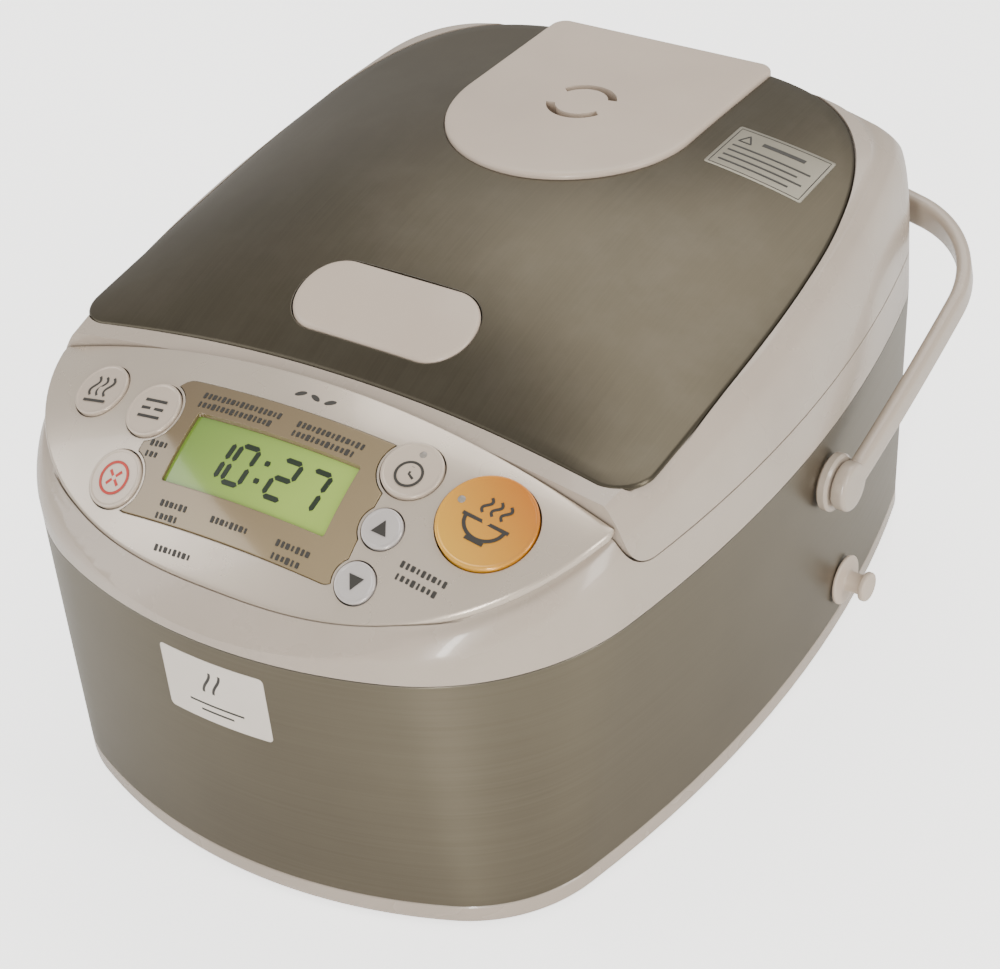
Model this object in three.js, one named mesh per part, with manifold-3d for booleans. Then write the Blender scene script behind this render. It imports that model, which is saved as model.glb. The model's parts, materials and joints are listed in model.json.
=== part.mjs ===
// Small micom rice cooker: stainless body, hinged lid, removable pan, swing handle.
// Millimetres, +Z up. Origin on the floor under the middle of the object. The front faces -Y.

import * as THREE from 'three';
import { mergeVertices } from 'three/addons/utils/BufferGeometryUtils.js';
import Module from 'manifold-3d';

const wasm = await Module();
wasm.setup();

// ---- Driving dimensions ---------------------------------------------------------------------

// Plan of the body: four kinds of tangent arc, mirrored about X = 0.
const BODY_HALF_WIDTH = 111.4;
const BODY_FRONT = 148.3;
const BODY_REAR = 139.7;
const WIDEST_Y = -7.4;
const SIDE_RADIUS = 433;
const FRONT_RADIUS = 171;
const REAR_RADIUS = 282;
const FRONT_CORNER = 71;
const REAR_CORNER = 42;
const BASE_TAPER = 5.5; // the steel is this much narrower on each side at the floor
const BASE_FRONT_CORNER = 48;
const BASE_REAR_CORNER = 25;

// Heights
const FOOT_HEIGHT = 1.7;
const BASE_UNDERSIDE = 2;
const BASE_FLOOR = 3;
const BASE_RIM = 9.1;
const BODY_HEIGHT = 94.9; // joint between the steel and the upper frame
const DECK_HEIGHT = 111.2; // top of the upper frame around the pan
const LID_BOTTOM = 111.5;

// Walls and fits
const GAP = 0.3;
const STEEL = 1.0;
const PLASTIC = 3;
const SEAM = 0.6;
const SPIGOT = 6.5; // how far the base and the frame reach inside the steel

// Lid: a domed stainless plate set into a plastic rim
const PLATE_HALF_WIDTH = 103.7;
const PLATE_FRONT = 70.7;
const PLATE_REAR = 113.5;
const PLATE_CORNER = 12;
const PLATE_POWER = 4.2;
const FRONT_BOW = 5.8; // how far the ends of the plate's front edge run forward of its middle
const PLATE_SHEET = 1.2;
const RIM_WIDTH = 5.5; // plastic strip in front of the plate
const LID_REAR = 135;
const LID_TOP = 162.5; // height of the dome at DOME_Y
const DOME_Y = 20;
const LID_EDGE_DROP = 20.8; // height from LID_TOP down to the plate's side edge at Y = 0
const LID_EDGE_RISE = 0.115; // slope of that side edge towards the rear
const LID_CORNER = 12; // rounding of the lid's lower front edge, seen from the side

// Control panel
const PANEL_HALF_WIDTH = 104;
const PANEL_FRONT = 139;
const PANEL_SIDE_Y = -58.3;
const PANEL_POWER = 2.44;
const PANEL_Z = 132.4; // height of the panel at X = 0, Y = -105
const PANEL_SLOPE = 0.5;
const PANEL_CURL = 0.0067;
const PANEL_CROWN = 0.0013;
const PANEL_SHEET = 2;
const PANEL_LEDGE = 5;

// Pan, well and heaters
const PAN_Y = 20;
const PAN_RADIUS = 78;
const PAN_WALL = 2;
const PAN_RIM = 6.5;
const PAN_BOTTOM = 31;
const PAN_TOP = 107.5;
const PAN_CORNER = 14;
const WELL_CLEARANCE = 2.3;
const WELL_WALL = 1.2;
const WELL_FLOOR = 22;
const WELL_FLANGE = 5;
const SENSOR_RADIUS = 13;
const SENSOR_STEM = 5;
const HEATER_RADIUS = 66;

// Handle
const HANDLE_Y = 25;
const HANDLE_Z = BODY_HEIGHT - 18.9;
const HANDLE_TILT = 14.5; // degrees above level when it lies back
const HANDLE_THICKNESS = 5;
const HANDLE_ROUND = 1.6;
const ARM_WIDTH = 9.5;
const GRIP_WIDTH = 13;
const HANDLE_END_RADIUS = 8;
const HANDLE_SIDE_CLEARANCE = 2.5;
const HANDLE_REAR = 153.3; // rearmost face of the grip
const HANDLE_CLEARANCE = 1.6; // between the grip and the lid's back as the handle swings over it
const HANDLE_BEND = 40;
const PIN_RADIUS = 4;
const CENTRE_Y = (HANDLE_REAR - BODY_FRONT) / 2; // middle of the whole length, where the origin goes

// Lid hinge, button and latch
const HINGE_Y = 126;
const HINGE_Z = 122;
const HINGE_BARREL = 9;
const HINGE_PIN_RADIUS = 2.5;
const LUG_X = 39;
const LUG_WIDTH = 10;
const LUG_RADIUS = 6.5;
const OPEN_BUTTON = { y: -47, width: 64, depth: 26, corner: 12.5, height: 6, proud: 0.8 };
const OPEN_TRAVEL = 2.5;
const CAP_HALF_WIDTH = 42.5;
const CAP_TIP = 18;
const CAP_REAR = 116;
const CAP_PROUD = 1.6;
const VENT_Y = 64;
const DUCT_RADIUS = 19;
const DUCT_WALL = 2;

// Panel buttons: plan position of the middle and radius
const BUTTONS = [
  { name: 'button_cook', x: 70, y: -98.7, radius: 14.8, colour: 0xd9a032 },
  { name: 'button_timer', x: 42.2, y: -94.5, radius: 9.3, colour: 0xc3b9ac },
  { name: 'button_hour_up', x: 43.2, y: -112, radius: 6.2, colour: 0xb9b4b0 },
  { name: 'button_hour_down', x: 42.6, y: -126, radius: 6.2, colour: 0xb9b4b0 },
  { name: 'button_keep_warm', x: -72.5, y: -98.2, radius: 9.3, colour: 0xc3b9ac },
  { name: 'button_menu', x: -48.6, y: -101.5, radius: 9.3, colour: 0xc3b9ac },
  { name: 'button_reset', x: -48.8, y: -121.9, radius: 9.3, colour: 0xc3b9ac },
];
const WINDOW = { x: -4, y: -109.2, width: 83, depth: 39.6, corner: 5, notch: 1.5 };
const BUTTON_DEPTH = 5;
const BUTTON_PROUD = 0.8;
const BUTTON_CLEARANCE = 0.45;

// ---- Materials ------------------------------------------------------------------------------

const paint = (color, roughness, metalness = 0) =>
  new THREE.MeshStandardMaterial({ color, roughness, metalness });
const STEEL_BODY = paint(0x80807a, 0.35, 1);
const STEEL_LID = paint(0x6c685e, 0.3, 1);
const BODY_PLASTIC = paint(0xb4aba1, 0.4);
const CAP_PLASTIC = paint(0xc6bab0, 0.45);
const PANEL_SILVER = paint(0xc8bfb4, 0.25, 0.3);
const WINDOW_BRONZE = paint(0x78644a, 0.1, 0.4);
const LCD_GREEN = paint(0x6fa23f, 0.4);
const BOARD_GREEN = paint(0x2f5b3a, 0.6);
const ALUMINIUM = paint(0xb8bcc0, 0.4, 1);
const PAN_GREY = paint(0x3c3d40, 0.5, 0.4);
const RUBBER = paint(0x2c2c2c, 0.9);
const SILICONE = paint(0xb9b3aa, 0.7);
const ZINC = paint(0x9aa0a6, 0.35, 1);

// ---- Geometry helpers -----------------------------------------------------------------------

/** The exact solid of a closed geometry. */
function solid(geometry) {
  const bare = geometry.clone();
  bare.deleteAttribute('normal');
  bare.deleteAttribute('uv');
  const merged = mergeVertices(bare, 1e-4);
  return new wasm.Manifold(new wasm.Mesh({
    numProp: 3,
    vertProperties: new Float32Array(merged.attributes.position.array),
    triVerts: new Uint32Array(merged.index.array),
  }));
}

/** The geometry of a solid. */
function geometryOf(manifold) {
  const mesh = manifold.getMesh();
  const geometry = new THREE.BufferGeometry();
  geometry.setAttribute('position', new THREE.BufferAttribute(new Float32Array(mesh.vertProperties), 3));
  geometry.setIndex(new THREE.BufferAttribute(new Uint32Array(mesh.triVerts), 1));
  geometry.computeVertexNormals();
  return geometry;
}

/** A body built from a geometry, less the cuts and plus the joins, in that order. */
function carve(geometry, cuts, joins = []) {
  let body = solid(geometry);
  for (const cut of cuts) body = body.subtract(solid(cut));
  for (const join of joins) body = body.add(solid(join));
  return geometryOf(body);
}

/** The part of one body that lies inside all the others. */
function common(geometry, ...others) {
  return geometryOf(others.reduce((body, other) => body.intersect(solid(other)), solid(geometry)));
}

/** Where two circles meet, on the side that is picked. */
function meet(a, radiusA, b, radiusB, pick) {
  const dx = b[0] - a[0];
  const dy = b[1] - a[1];
  const distance = Math.hypot(dx, dy);
  const along = (radiusA ** 2 - radiusB ** 2 + distance ** 2) / (2 * distance);
  const across = Math.sqrt(Math.max(radiusA ** 2 - along ** 2, 0));
  const ends = [1, -1].map((side) => [
    a[0] + (along * dx - side * across * dy) / distance,
    a[1] + (along * dy + side * across * dx) / distance,
  ]);
  return pick(ends[0]) > pick(ends[1]) ? ends[0] : ends[1];
}

/** Points on an arc, without its last one. */
function arc(centre, radius, from, to, steps) {
  return Array.from({ length: steps }, (_, i) => {
    const angle = from + ((to - from) * i) / steps;
    return [centre[0] + radius * Math.cos(angle), centre[1] + radius * Math.sin(angle)];
  });
}

const angleTo = (from, to) => Math.atan2(to[1] - from[1], to[0] - from[0]);

/** Closed body plan: front arc, corner, side, rear corner and rear arc, then the same mirrored. */
function plan({ halfWidth, front, rear, frontCorner, rearCorner, inset = 0 }) {
  const sideRadius = SIDE_RADIUS - inset;
  const frontRadius = FRONT_RADIUS - inset;
  const rearRadius = REAR_RADIUS - inset;
  const cornerF = Math.max(frontCorner - inset, 2);
  const cornerR = Math.max(rearCorner - inset, 2);
  const side = [halfWidth - SIDE_RADIUS, WIDEST_Y];
  const ahead = [0, FRONT_RADIUS - front];
  const behind = [0, rear - REAR_RADIUS];
  const nearCorner = meet(side, sideRadius - cornerF, ahead, frontRadius - cornerF, (p) => p[0] - p[1]);
  const farCorner = meet(side, sideRadius - cornerR, behind, rearRadius - cornerR, (p) => p[0] + p[1]);
  const turns = [
    -Math.PI / 2, angleTo(ahead, nearCorner), angleTo(side, nearCorner),
    angleTo(side, farCorner), angleTo(behind, farCorner), Math.PI / 2,
  ];
  const half = [
    ...arc(ahead, frontRadius, turns[0], turns[1], 4),
    ...arc(nearCorner, cornerF, turns[1], turns[2], 7),
    ...arc(side, sideRadius, turns[2], turns[3], 5),
    ...arc(farCorner, cornerR, turns[3], turns[4], 6),
    ...arc(behind, rearRadius, turns[4], turns[5], 4),
  ];
  const mirrored = half.slice(1).reverse().map(([x, y]) => [-x, y]);
  return [...half, [0, rear - inset], ...mirrored];
}

const TOP_PLAN = {
  halfWidth: BODY_HALF_WIDTH, front: BODY_FRONT, rear: BODY_REAR,
  frontCorner: FRONT_CORNER, rearCorner: REAR_CORNER,
};
const BASE_PLAN = {
  halfWidth: BODY_HALF_WIDTH - BASE_TAPER,
  front: BODY_FRONT - 0.3,
  rear: BODY_REAR - 4.9,
  frontCorner: BASE_FRONT_CORNER,
  rearCorner: BASE_REAR_CORNER,
};

/** The plan of the tapering body at one height, moved inwards by an inset. */
function bodyPlan(z, inset = 0) {
  const share = THREE.MathUtils.clamp((z - BASE_RIM) / (BODY_HEIGHT - BASE_RIM), 0, 1);
  const mix = (key) => THREE.MathUtils.lerp(BASE_PLAN[key], TOP_PLAN[key], share);
  return plan({
    halfWidth: mix('halfWidth'),
    front: mix('front'),
    rear: mix('rear'),
    frontCorner: mix('frontCorner'),
    rearCorner: mix('rearCorner'),
    inset,
  });
}

/** Ring of 3-D points from a plan; z is a number or a function of the point. */
const ring = (points, z) => points.map(([x, y]) => [x, y, typeof z === 'function' ? z(x, y) : z]);

/** Closed body through a stack of rings. A looped stack runs back to its first ring; others are capped. */
function loft(rings, looped = false) {
  const count = rings[0].length;
  const positions = rings.flat(2);
  const index = [];
  const strips = looped ? rings.length : rings.length - 1;
  for (let s = 0; s < strips; s += 1) {
    for (let i = 0; i < count; i += 1) {
      const a = s * count + i;
      const b = s * count + ((i + 1) % count);
      const c = ((s + 1) % rings.length) * count + ((i + 1) % count);
      const d = ((s + 1) % rings.length) * count + i;
      index.push(a, b, c, a, c, d);
    }
  }
  if (!looped) {
    for (const [s, flip] of [[0, true], [rings.length - 1, false]]) {
      const middle = positions.length / 3;
      const centre = rings[s].reduce((sum, p) => sum.map((v, k) => v + p[k] / count), [0, 0, 0]);
      positions.push(...centre);
      for (let i = 0; i < count; i += 1) {
        const a = s * count + i;
        const b = s * count + ((i + 1) % count);
        index.push(...(flip ? [middle, b, a] : [middle, a, b]));
      }
    }
  }
  const geometry = new THREE.BufferGeometry();
  geometry.setAttribute('position', new THREE.Float32BufferAttribute(positions, 3));
  geometry.setIndex(index);
  return geometry;
}

/** Closed body between two height functions over a rectangle. */
function sheet(top, bottom, [x0, x1], [y0, y1], columns, rows) {
  const rings = [];
  const positions = [];
  const index = [];
  for (const height of [top, bottom]) {
    for (let r = 0; r <= rows; r += 1) {
      for (let c = 0; c <= columns; c += 1) {
        const x = THREE.MathUtils.lerp(x0, x1, c / columns);
        const y = THREE.MathUtils.lerp(y0, y1, r / rows);
        positions.push(x, y, height(x, y));
      }
    }
  }
  const width = columns + 1;
  const under = width * (rows + 1);
  for (let r = 0; r < rows; r += 1) {
    for (let c = 0; c < columns; c += 1) {
      const a = r * width + c;
      const d = a + width;
      index.push(a, a + 1, d + 1, a, d + 1, d);
      index.push(under + a, under + d + 1, under + a + 1, under + a, under + d, under + d + 1);
    }
  }
  for (let c = 0; c < columns; c += 1) rings.push(c);
  for (let r = 0; r < rows; r += 1) rings.push(r * width + columns);
  for (let c = columns; c > 0; c -= 1) rings.push(rows * width + c);
  for (let r = rows; r > 0; r -= 1) rings.push(r * width);
  rings.forEach((a, i) => {
    const b = rings[(i + 1) % rings.length];
    index.push(a, under + a, under + b, a, under + b, b);
  });
  const geometry = new THREE.BufferGeometry();
  geometry.setAttribute('position', new THREE.Float32BufferAttribute(positions, 3));
  geometry.setIndex(index);
  return geometry;
}

/** Upright prism over plan points. */
function prism(points, z0, z1) {
  const shape = new THREE.Shape(points.map(([x, y]) => new THREE.Vector2(x, y)));
  return new THREE.ExtrudeGeometry(shape, { depth: z1 - z0, bevelEnabled: false }).translate(0, 0, z0);
}

/** Prism along X over points of (Y, Z). */
function crossPrism(points, x0, x1) {
  const turn = new THREE.Matrix4().makeBasis(
    new THREE.Vector3(0, 1, 0), new THREE.Vector3(0, 0, 1), new THREE.Vector3(1, 0, 0),
  );
  return prism(points, x0, x1).applyMatrix4(turn);
}

/** Turned body about +Z over a profile of (radius, z). */
function turned(profile, segments = 32) {
  return new THREE.LatheGeometry(profile.map(([r, z]) => new THREE.Vector2(r, z)), segments).rotateX(Math.PI / 2);
}

/** Plain disc or rod standing on z0. */
const rod = (radius, z0, z1, segments = 24) => turned([[0, z0], [radius, z0], [radius, z1], [0, z1]], segments);

/** Tube or washer; its profile closes on itself. */
function tube(inner, outer, z0, z1, segments = 32) {
  return turned([[inner, z0], [outer, z0], [outer, z1], [inner, z1], [inner, z0]], segments);
}

const box = (x0, x1, y0, y1, z0, z1) =>
  new THREE.BoxGeometry(x1 - x0, y1 - y0, z1 - z0).translate((x0 + x1) / 2, (y0 + y1) / 2, (z0 + z1) / 2);

/** Lays a body that stands along +Z on the X axis (side is 1 or -1). */
const alongX = (geometry, side = 1) => geometry.rotateY((side * Math.PI) / 2);

/** Rounded rectangle about a middle point. */
function roundedRectangle(x, y, width, depth, corner, steps = 5) {
  const points = [];
  for (const [sx, sy, start] of [[1, -1, -90], [1, 1, 0], [-1, 1, 90], [-1, -1, 180]]) {
    const centre = [x + sx * (width / 2 - corner), y + sy * (depth / 2 - corner)];
    const from = THREE.MathUtils.degToRad(start);
    points.push(...arc(centre, corner, from, from + Math.PI / 2, steps));
    const last = from + Math.PI / 2;
    points.push([centre[0] + corner * Math.cos(last), centre[1] + corner * Math.sin(last)]);
  }
  return points;
}

/** Coil spring standing on z0, as one closed wire. */
function coil(radius, wire, turns, z0, z1, stepsPerTurn = 8) {
  class Helix extends THREE.Curve {
    getPoint(t) {
      const angle = t * turns * 2 * Math.PI;
      const z = THREE.MathUtils.lerp(z0 + wire, z1 - wire, t);
      return new THREE.Vector3(radius * Math.cos(angle), radius * Math.sin(angle), z);
    }
  }
  const section = new THREE.Shape(arc([0, 0], wire, 0, 2 * Math.PI, 4).map(([x, y]) => new THREE.Vector2(x, y)));
  return new THREE.ExtrudeGeometry(section, { steps: turns * stepsPerTurn, extrudePath: new Helix() });
}

// ---- Surfaces shared by neighbouring pieces --------------------------------------------------

/** Domed top surface of the lid. */
function lidSurface(x, y) {
  const t = (y - DOME_Y) / (PLATE_FRONT + DOME_Y);
  const middle = LID_TOP + 6.5 * t - 11.7 * t ** 2 + 4.2 * t ** 3;
  const edge = LID_TOP - LID_EDGE_DROP + LID_EDGE_RISE * y;
  return middle - (middle - edge) * Math.abs(x / PLATE_HALF_WIDTH) ** 2.4;
}

/** Curved top surface of the control panel. */
function panelSurface(x, y) {
  const back = y + 105;
  return PANEL_Z + PANEL_SLOPE * back - PANEL_CURL * back ** 2 - PANEL_CROWN * x ** 2;
}

/** Outward normal of a height function. */
function normalOf(surface, x, y) {
  const step = 0.5;
  const slopeX = (surface(x + step, y) - surface(x - step, y)) / (2 * step);
  const slopeY = (surface(x, y + step) - surface(x, y - step)) / (2 * step);
  return new THREE.Vector3(-slopeX, -slopeY, 1).normalize();
}

/** Y of the lid's front edge; ahead is how far in front of the plate it lies. */
const frontEdge = (x, ahead = 0) => -PLATE_FRONT - ahead - FRONT_BOW * (x / PLATE_HALF_WIDTH) ** 2;

/** Plan of the stainless plate, grown by a margin. */
function platePlan(margin = 0) {
  const halfWidth = PLATE_HALF_WIDTH + margin;
  const corner = PLATE_CORNER + margin;
  const start = frontEdge(halfWidth);
  const length = PLATE_REAR + margin - start;
  const power = 2 / PLATE_POWER;
  const cornerY = frontEdge(halfWidth - corner, margin) + corner;
  const first = Math.asin(Math.max((cornerY + 2 - start) / length, 0.01) ** (1 / power));
  const right = [
    ...[0, 0.3, 0.6, 0.85].map((s) => [s * (halfWidth - corner), frontEdge(s * (halfWidth - corner), margin)]),
    ...arc([halfWidth - corner, cornerY], corner, -Math.PI / 2, 0, 5),
  ];
  for (let i = 0; i < 14; i += 1) {
    const t = THREE.MathUtils.lerp(first, Math.PI / 2, i / 14);
    right.push([halfWidth * Math.cos(t) ** power, start + length * Math.sin(t) ** power]);
  }
  const left = right.slice(1).reverse().map(([x, y]) => [-x, y]);
  return [...right, [0, PLATE_REAR + margin], ...left];
}

/** Plan of the control panel cover, moved inwards by an inset. */
function panelPlan(inset = 0) {
  const halfWidth = PANEL_HALF_WIDTH - inset;
  const length = PANEL_SIDE_Y + PANEL_FRONT - inset;
  const power = 2 / PANEL_POWER;
  const front = [];
  for (let i = 0; i <= 26; i += 1) {
    const t = (Math.PI * i) / 26;
    const x = -Math.sign(Math.cos(t)) * halfWidth * Math.abs(Math.cos(t)) ** power;
    front.push([x, PANEL_SIDE_Y - length * Math.sin(t) ** power]);
  }
  const edge = (x) => frontEdge(x, RIM_WIDTH + SEAM + inset);
  const inside = front.filter(([x, y]) => y < edge(x) - 1);
  const ends = [inside[inside.length - 1][0], inside[0][0]];
  const back = [];
  for (let i = 0; i <= 10; i += 1) {
    const x = THREE.MathUtils.lerp(ends[0], ends[1], i / 10);
    back.push([x, edge(x)]);
  }
  return [...inside, ...back];
}

/** Everything above the lid's lower boundary, seen from the side, with a margin all round. */
function lidZone(margin) {
  const bottom = LID_BOTTOM - margin;
  const corner = LID_CORNER + margin;
  const half = BODY_HALF_WIDTH + 20;
  const bands = 8;
  const step = (2 * half) / bands;
  const parts = [];
  const section = (x) => {
    const front = frontEdge(x, RIM_WIDTH + margin);
    return [
      ...arc([front + corner, bottom + corner], corner, Math.PI, 1.5 * Math.PI, 5),
      [front + corner, bottom],
      [HINGE_Y - 9, bottom],
      ...arc([HINGE_Y, HINGE_Z], HINGE_BARREL + margin, 1.32 * Math.PI, 2 * Math.PI, 7),
      [HINGE_Y + HINGE_BARREL + margin, HINGE_Z],
      [HINGE_Y + HINGE_BARREL + margin, 220],
      [front, 220],
    ];
  };
  for (let i = 0; i <= bands; i += 1) {
    const x = -half + i * step;
    parts.push(section(x).map(([y, z]) => [x, y, z]));
  }
  return loft(parts);
}

/** The lid's outer shell shape before its top is cut to the dome, moved inwards by an inset. */
function lidBlank(inset = 0, coarse = false) {
  const level = (z, share) => (x, y) => z + share * LID_EDGE_RISE * y;
  const outline = (drawn, rear) => plan({ ...TOP_PLAN, rear: rear + 4.7, inset: inset + drawn });
  const at = (z, share, drawn, rear) => ring(outline(drawn, rear), level(z, share));
  const rings = [
    at(LID_BOTTOM - 4, 0, 0, LID_REAR),
    at(LID_BOTTOM + 10, 0.35, 0.1, LID_REAR),
    at(LID_BOTTOM + 19, 0.8, 1.2, LID_REAR - 1),
    at(LID_BOTTOM + 25, 1, 3.2, LID_REAR - 4),
    at(LID_BOTTOM + 29, 1, 5.8, LID_REAR - 8),
    at(LID_BOTTOM + 32, 1, 8.5, LID_REAR - 13),
    at(LID_BOTTOM + 45, 1.4, 14, LID_REAR - 20),
  ];
  return loft(coarse ? rings.filter((_, i) => i % 2 === 0) : rings);
}

const SPAN_X = [-BODY_HALF_WIDTH - 8, BODY_HALF_WIDTH + 8];
const FAR_BELOW = () => -20;

const LID_SPAN_Y = [frontEdge(BODY_HALF_WIDTH) - 14, LID_REAR + 6];

/** Everything under the lid surface, lowered by depth. */
const underLid = (depth = 0, cells = 10) =>
  sheet((x, y) => lidSurface(x, y) - depth, () => 60, SPAN_X, LID_SPAN_Y, cells, cells);

/** Everything over the lid surface, lowered by depth. */
const overLid = (depth = 0) => sheet(() => 240, (x, y) => lidSurface(x, y) - depth, SPAN_X, LID_SPAN_Y, 10, 10);

/** A sheet that follows the lid surface between two depths. */
const lidSkin = (upper, lower) =>
  sheet((x, y) => lidSurface(x, y) - upper, (x, y) => lidSurface(x, y) - lower, SPAN_X, LID_SPAN_Y, 10, 10);

/** A sheet that follows the panel surface between two depths. */
const panelSkin = (upper, lower) =>
  sheet(
    (x, y) => panelSurface(x, y) - upper, (x, y) => panelSurface(x, y) - lower,
    SPAN_X, [-BODY_FRONT - 4, frontEdge(0) + 2], 10, 7,
  );

const capPlan = (margin = 0) => {
  const half = CAP_HALF_WIDTH + margin;
  const centre = [0, CAP_TIP + CAP_HALF_WIDTH];
  const corner = 5 + margin;
  const rear = CAP_REAR + margin;
  return [
    ...arc(centre, half, Math.PI, 2 * Math.PI, 16),
    [half, centre[1]],
    ...arc([half - corner, rear - corner], corner, 0, Math.PI / 2, 3),
    [half - corner, rear],
    [corner - half, rear],
    ...arc([corner - half, rear - corner], corner, Math.PI / 2, Math.PI, 3).slice(1),
    [-half, rear - corner],
  ];
};

const openButtonPlan = (margin = 0) =>
  roundedRectangle(
    0, OPEN_BUTTON.y, OPEN_BUTTON.width + 2 * margin, OPEN_BUTTON.depth + 2 * margin, OPEN_BUTTON.corner + margin,
  );

/** Bronze window, before the buttons beside it are cut out of its edges. */
const windowPlan = (margin = 0) =>
  roundedRectangle(
    WINDOW.x, WINDOW.y, WINDOW.width + 2 * margin, WINDOW.depth + 2 * margin, WINDOW.corner + margin, 3,
  );

// ---- Base and shell --------------------------------------------------------------------------

const POSTS = [[88, -92], [-88, -92], [80, 104], [-80, 104]];
const SCREW = { head: 3.5, headHeight: 0.9, shank: 1.5, length: 12 };

function baseTray() {
  const bottom = BASE_UNDERSIDE;
  const floor = bottom + BASE_FLOOR;
  const tray = loft([
    ring(bodyPlan(BASE_RIM, 1.6), bottom),
    ring(bodyPlan(BASE_RIM, 0.5), bottom + 1.6),
    ring(bodyPlan(BASE_RIM), BASE_RIM - 2),
    ring(bodyPlan(BASE_RIM), BASE_RIM),
    ring(bodyPlan(BASE_RIM, STEEL + GAP), BASE_RIM),
    ring(bodyPlan(BASE_RIM, STEEL + GAP), BASE_RIM + SPIGOT),
    ring(bodyPlan(BASE_RIM, STEEL + GAP + 2), BASE_RIM + SPIGOT),
    ring(bodyPlan(BASE_RIM, STEEL + GAP + 2), floor),
  ]);
  const holes = POSTS.flatMap(([x, y]) => [
    rod(SCREW.head + GAP, bottom - 1, bottom + 0.3 + SCREW.headHeight + GAP, 16).translate(x, y, 0),
    rod(SCREW.shank + GAP, bottom, floor + 1, 16).translate(x, y, 0),
  ]);
  return carve(tray, holes);
}

const footGeometry = () => rod(9, 0, FOOT_HEIGHT, 16);

const screwGeometry = () =>
  turned([
    [0, 0], [SCREW.head, 0], [SCREW.head, SCREW.headHeight], [SCREW.shank, SCREW.headHeight],
    [SCREW.shank, SCREW.length], [0, SCREW.length],
  ], 8);

/** X of the body's side wall at a place. */
function sideX(y, z) {
  const share = THREE.MathUtils.clamp((z - BASE_RIM) / (BODY_HEIGHT - BASE_RIM), 0, 1);
  const halfWidth = BODY_HALF_WIDTH - BASE_TAPER * (1 - share);
  return halfWidth - SIDE_RADIUS + Math.sqrt(SIDE_RADIUS ** 2 - (y - WIDEST_Y) ** 2);
}

/** Y of the body's rear wall at a place. */
function rearY(x, z) {
  const share = THREE.MathUtils.clamp((z - BASE_RIM) / (BODY_HEIGHT - BASE_RIM), 0, 1);
  const rear = THREE.MathUtils.lerp(BASE_PLAN.rear, TOP_PLAN.rear, share);
  return rear - REAR_RADIUS + Math.sqrt(REAR_RADIUS ** 2 - x ** 2);
}

const GLAND = { x: -30, z: 26, radius: 6, flange: 9, bore: 3.2, seat: 2 };
const HOOK = { y: 43, z: 22, radius: 3.4, plate: 8.5, reach: 8.5, tip: 5 };

function outerShell() {
  const low = BASE_RIM + GAP;
  const high = BODY_HEIGHT - GAP;
  const wall = loft([
    ring(bodyPlan(low), low),
    ring(bodyPlan((low + high) / 2), (low + high) / 2),
    ring(bodyPlan(high), high),
    ring(bodyPlan(high, STEEL), high),
    ring(bodyPlan(low, STEEL), low),
  ], true);
  const pinHole = PIN_RADIUS + 0.6;
  return carve(wall, [
    rod(pinHole, -60, 60, 20).rotateY(Math.PI / 2).translate(BODY_HALF_WIDTH, HANDLE_Y, HANDLE_Z),
    rod(pinHole, -60, 60, 20).rotateY(Math.PI / 2).translate(-BODY_HALF_WIDTH, HANDLE_Y, HANDLE_Z),
    rod(HOOK.radius + 0.4, -30, 30, 20).rotateY(Math.PI / 2).translate(BODY_HALF_WIDTH, HOOK.y, HOOK.z),
    rod(GLAND.radius + 0.4, -30, 30, 20).rotateX(Math.PI / 2).translate(GLAND.x, BODY_REAR, GLAND.z),
  ]);
}

/** Cord inlet bush; a short tube with an outside flange, along +Y. */
function cordGland() {
  const profile = [
    [GLAND.bore, -9], [GLAND.radius, -9], [GLAND.radius, GLAND.seat], [GLAND.flange, GLAND.seat],
    [GLAND.flange - 1, GLAND.seat + 2], [GLAND.bore + 1.5, GLAND.seat + 4], [GLAND.bore, GLAND.seat + 4],
    [GLAND.bore, -9],
  ];
  return turned(profile, 20).rotateX(-Math.PI / 2);
}

/** Peg with a wall plate and a round end, along +X, that a spatula holder hangs on. */
function spatulaHook() {
  const { radius, plate, reach, tip } = HOOK;
  return alongX(turned([
    [0, -6], [radius, -6], [radius, GAP + 0.8], [plate, GAP + 0.8], [plate, GAP + 2], [radius, GAP + 2.4],
    [radius, reach], [tip, reach], [tip, reach + 1.6], [tip - 1, reach + 2.2], [0, reach + 2.2],
  ], 20));
}

// ---- Upper frame and control panel -----------------------------------------------------------

const WELL_RADIUS = PAN_RADIUS + WELL_CLEARANCE + WELL_WALL;
const DECK_HOLE = PAN_RADIUS + PAN_RIM + 0.8;
const LATCH = { halfWidth: 10, thickness: 3, y: -72.6, depth: 8, barb: 1.2 };

/** Outer shape of the upper frame: a band that rises into the console, moved inwards by an inset. */
function frameBlank(inset = 0, coarse = false) {
  const rise = (share) => (x, y) => {
    const lip = 11 + Math.max(y + BODY_FRONT, 0) * 0.3;
    return BODY_HEIGHT + share * lip;
  };
  const at = (share, drawn) => ring(plan({ ...TOP_PLAN, inset: inset + drawn }), rise(share));
  const rings = [at(0, 0), at(0.4, 0), at(0.68, 1.2), at(0.87, 3.6), at(1, 7.2), at(1.6, 11), at(3.6, 30)];
  return loft(coarse ? rings.filter((_, i) => i % 2 === 0) : rings);
}

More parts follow.
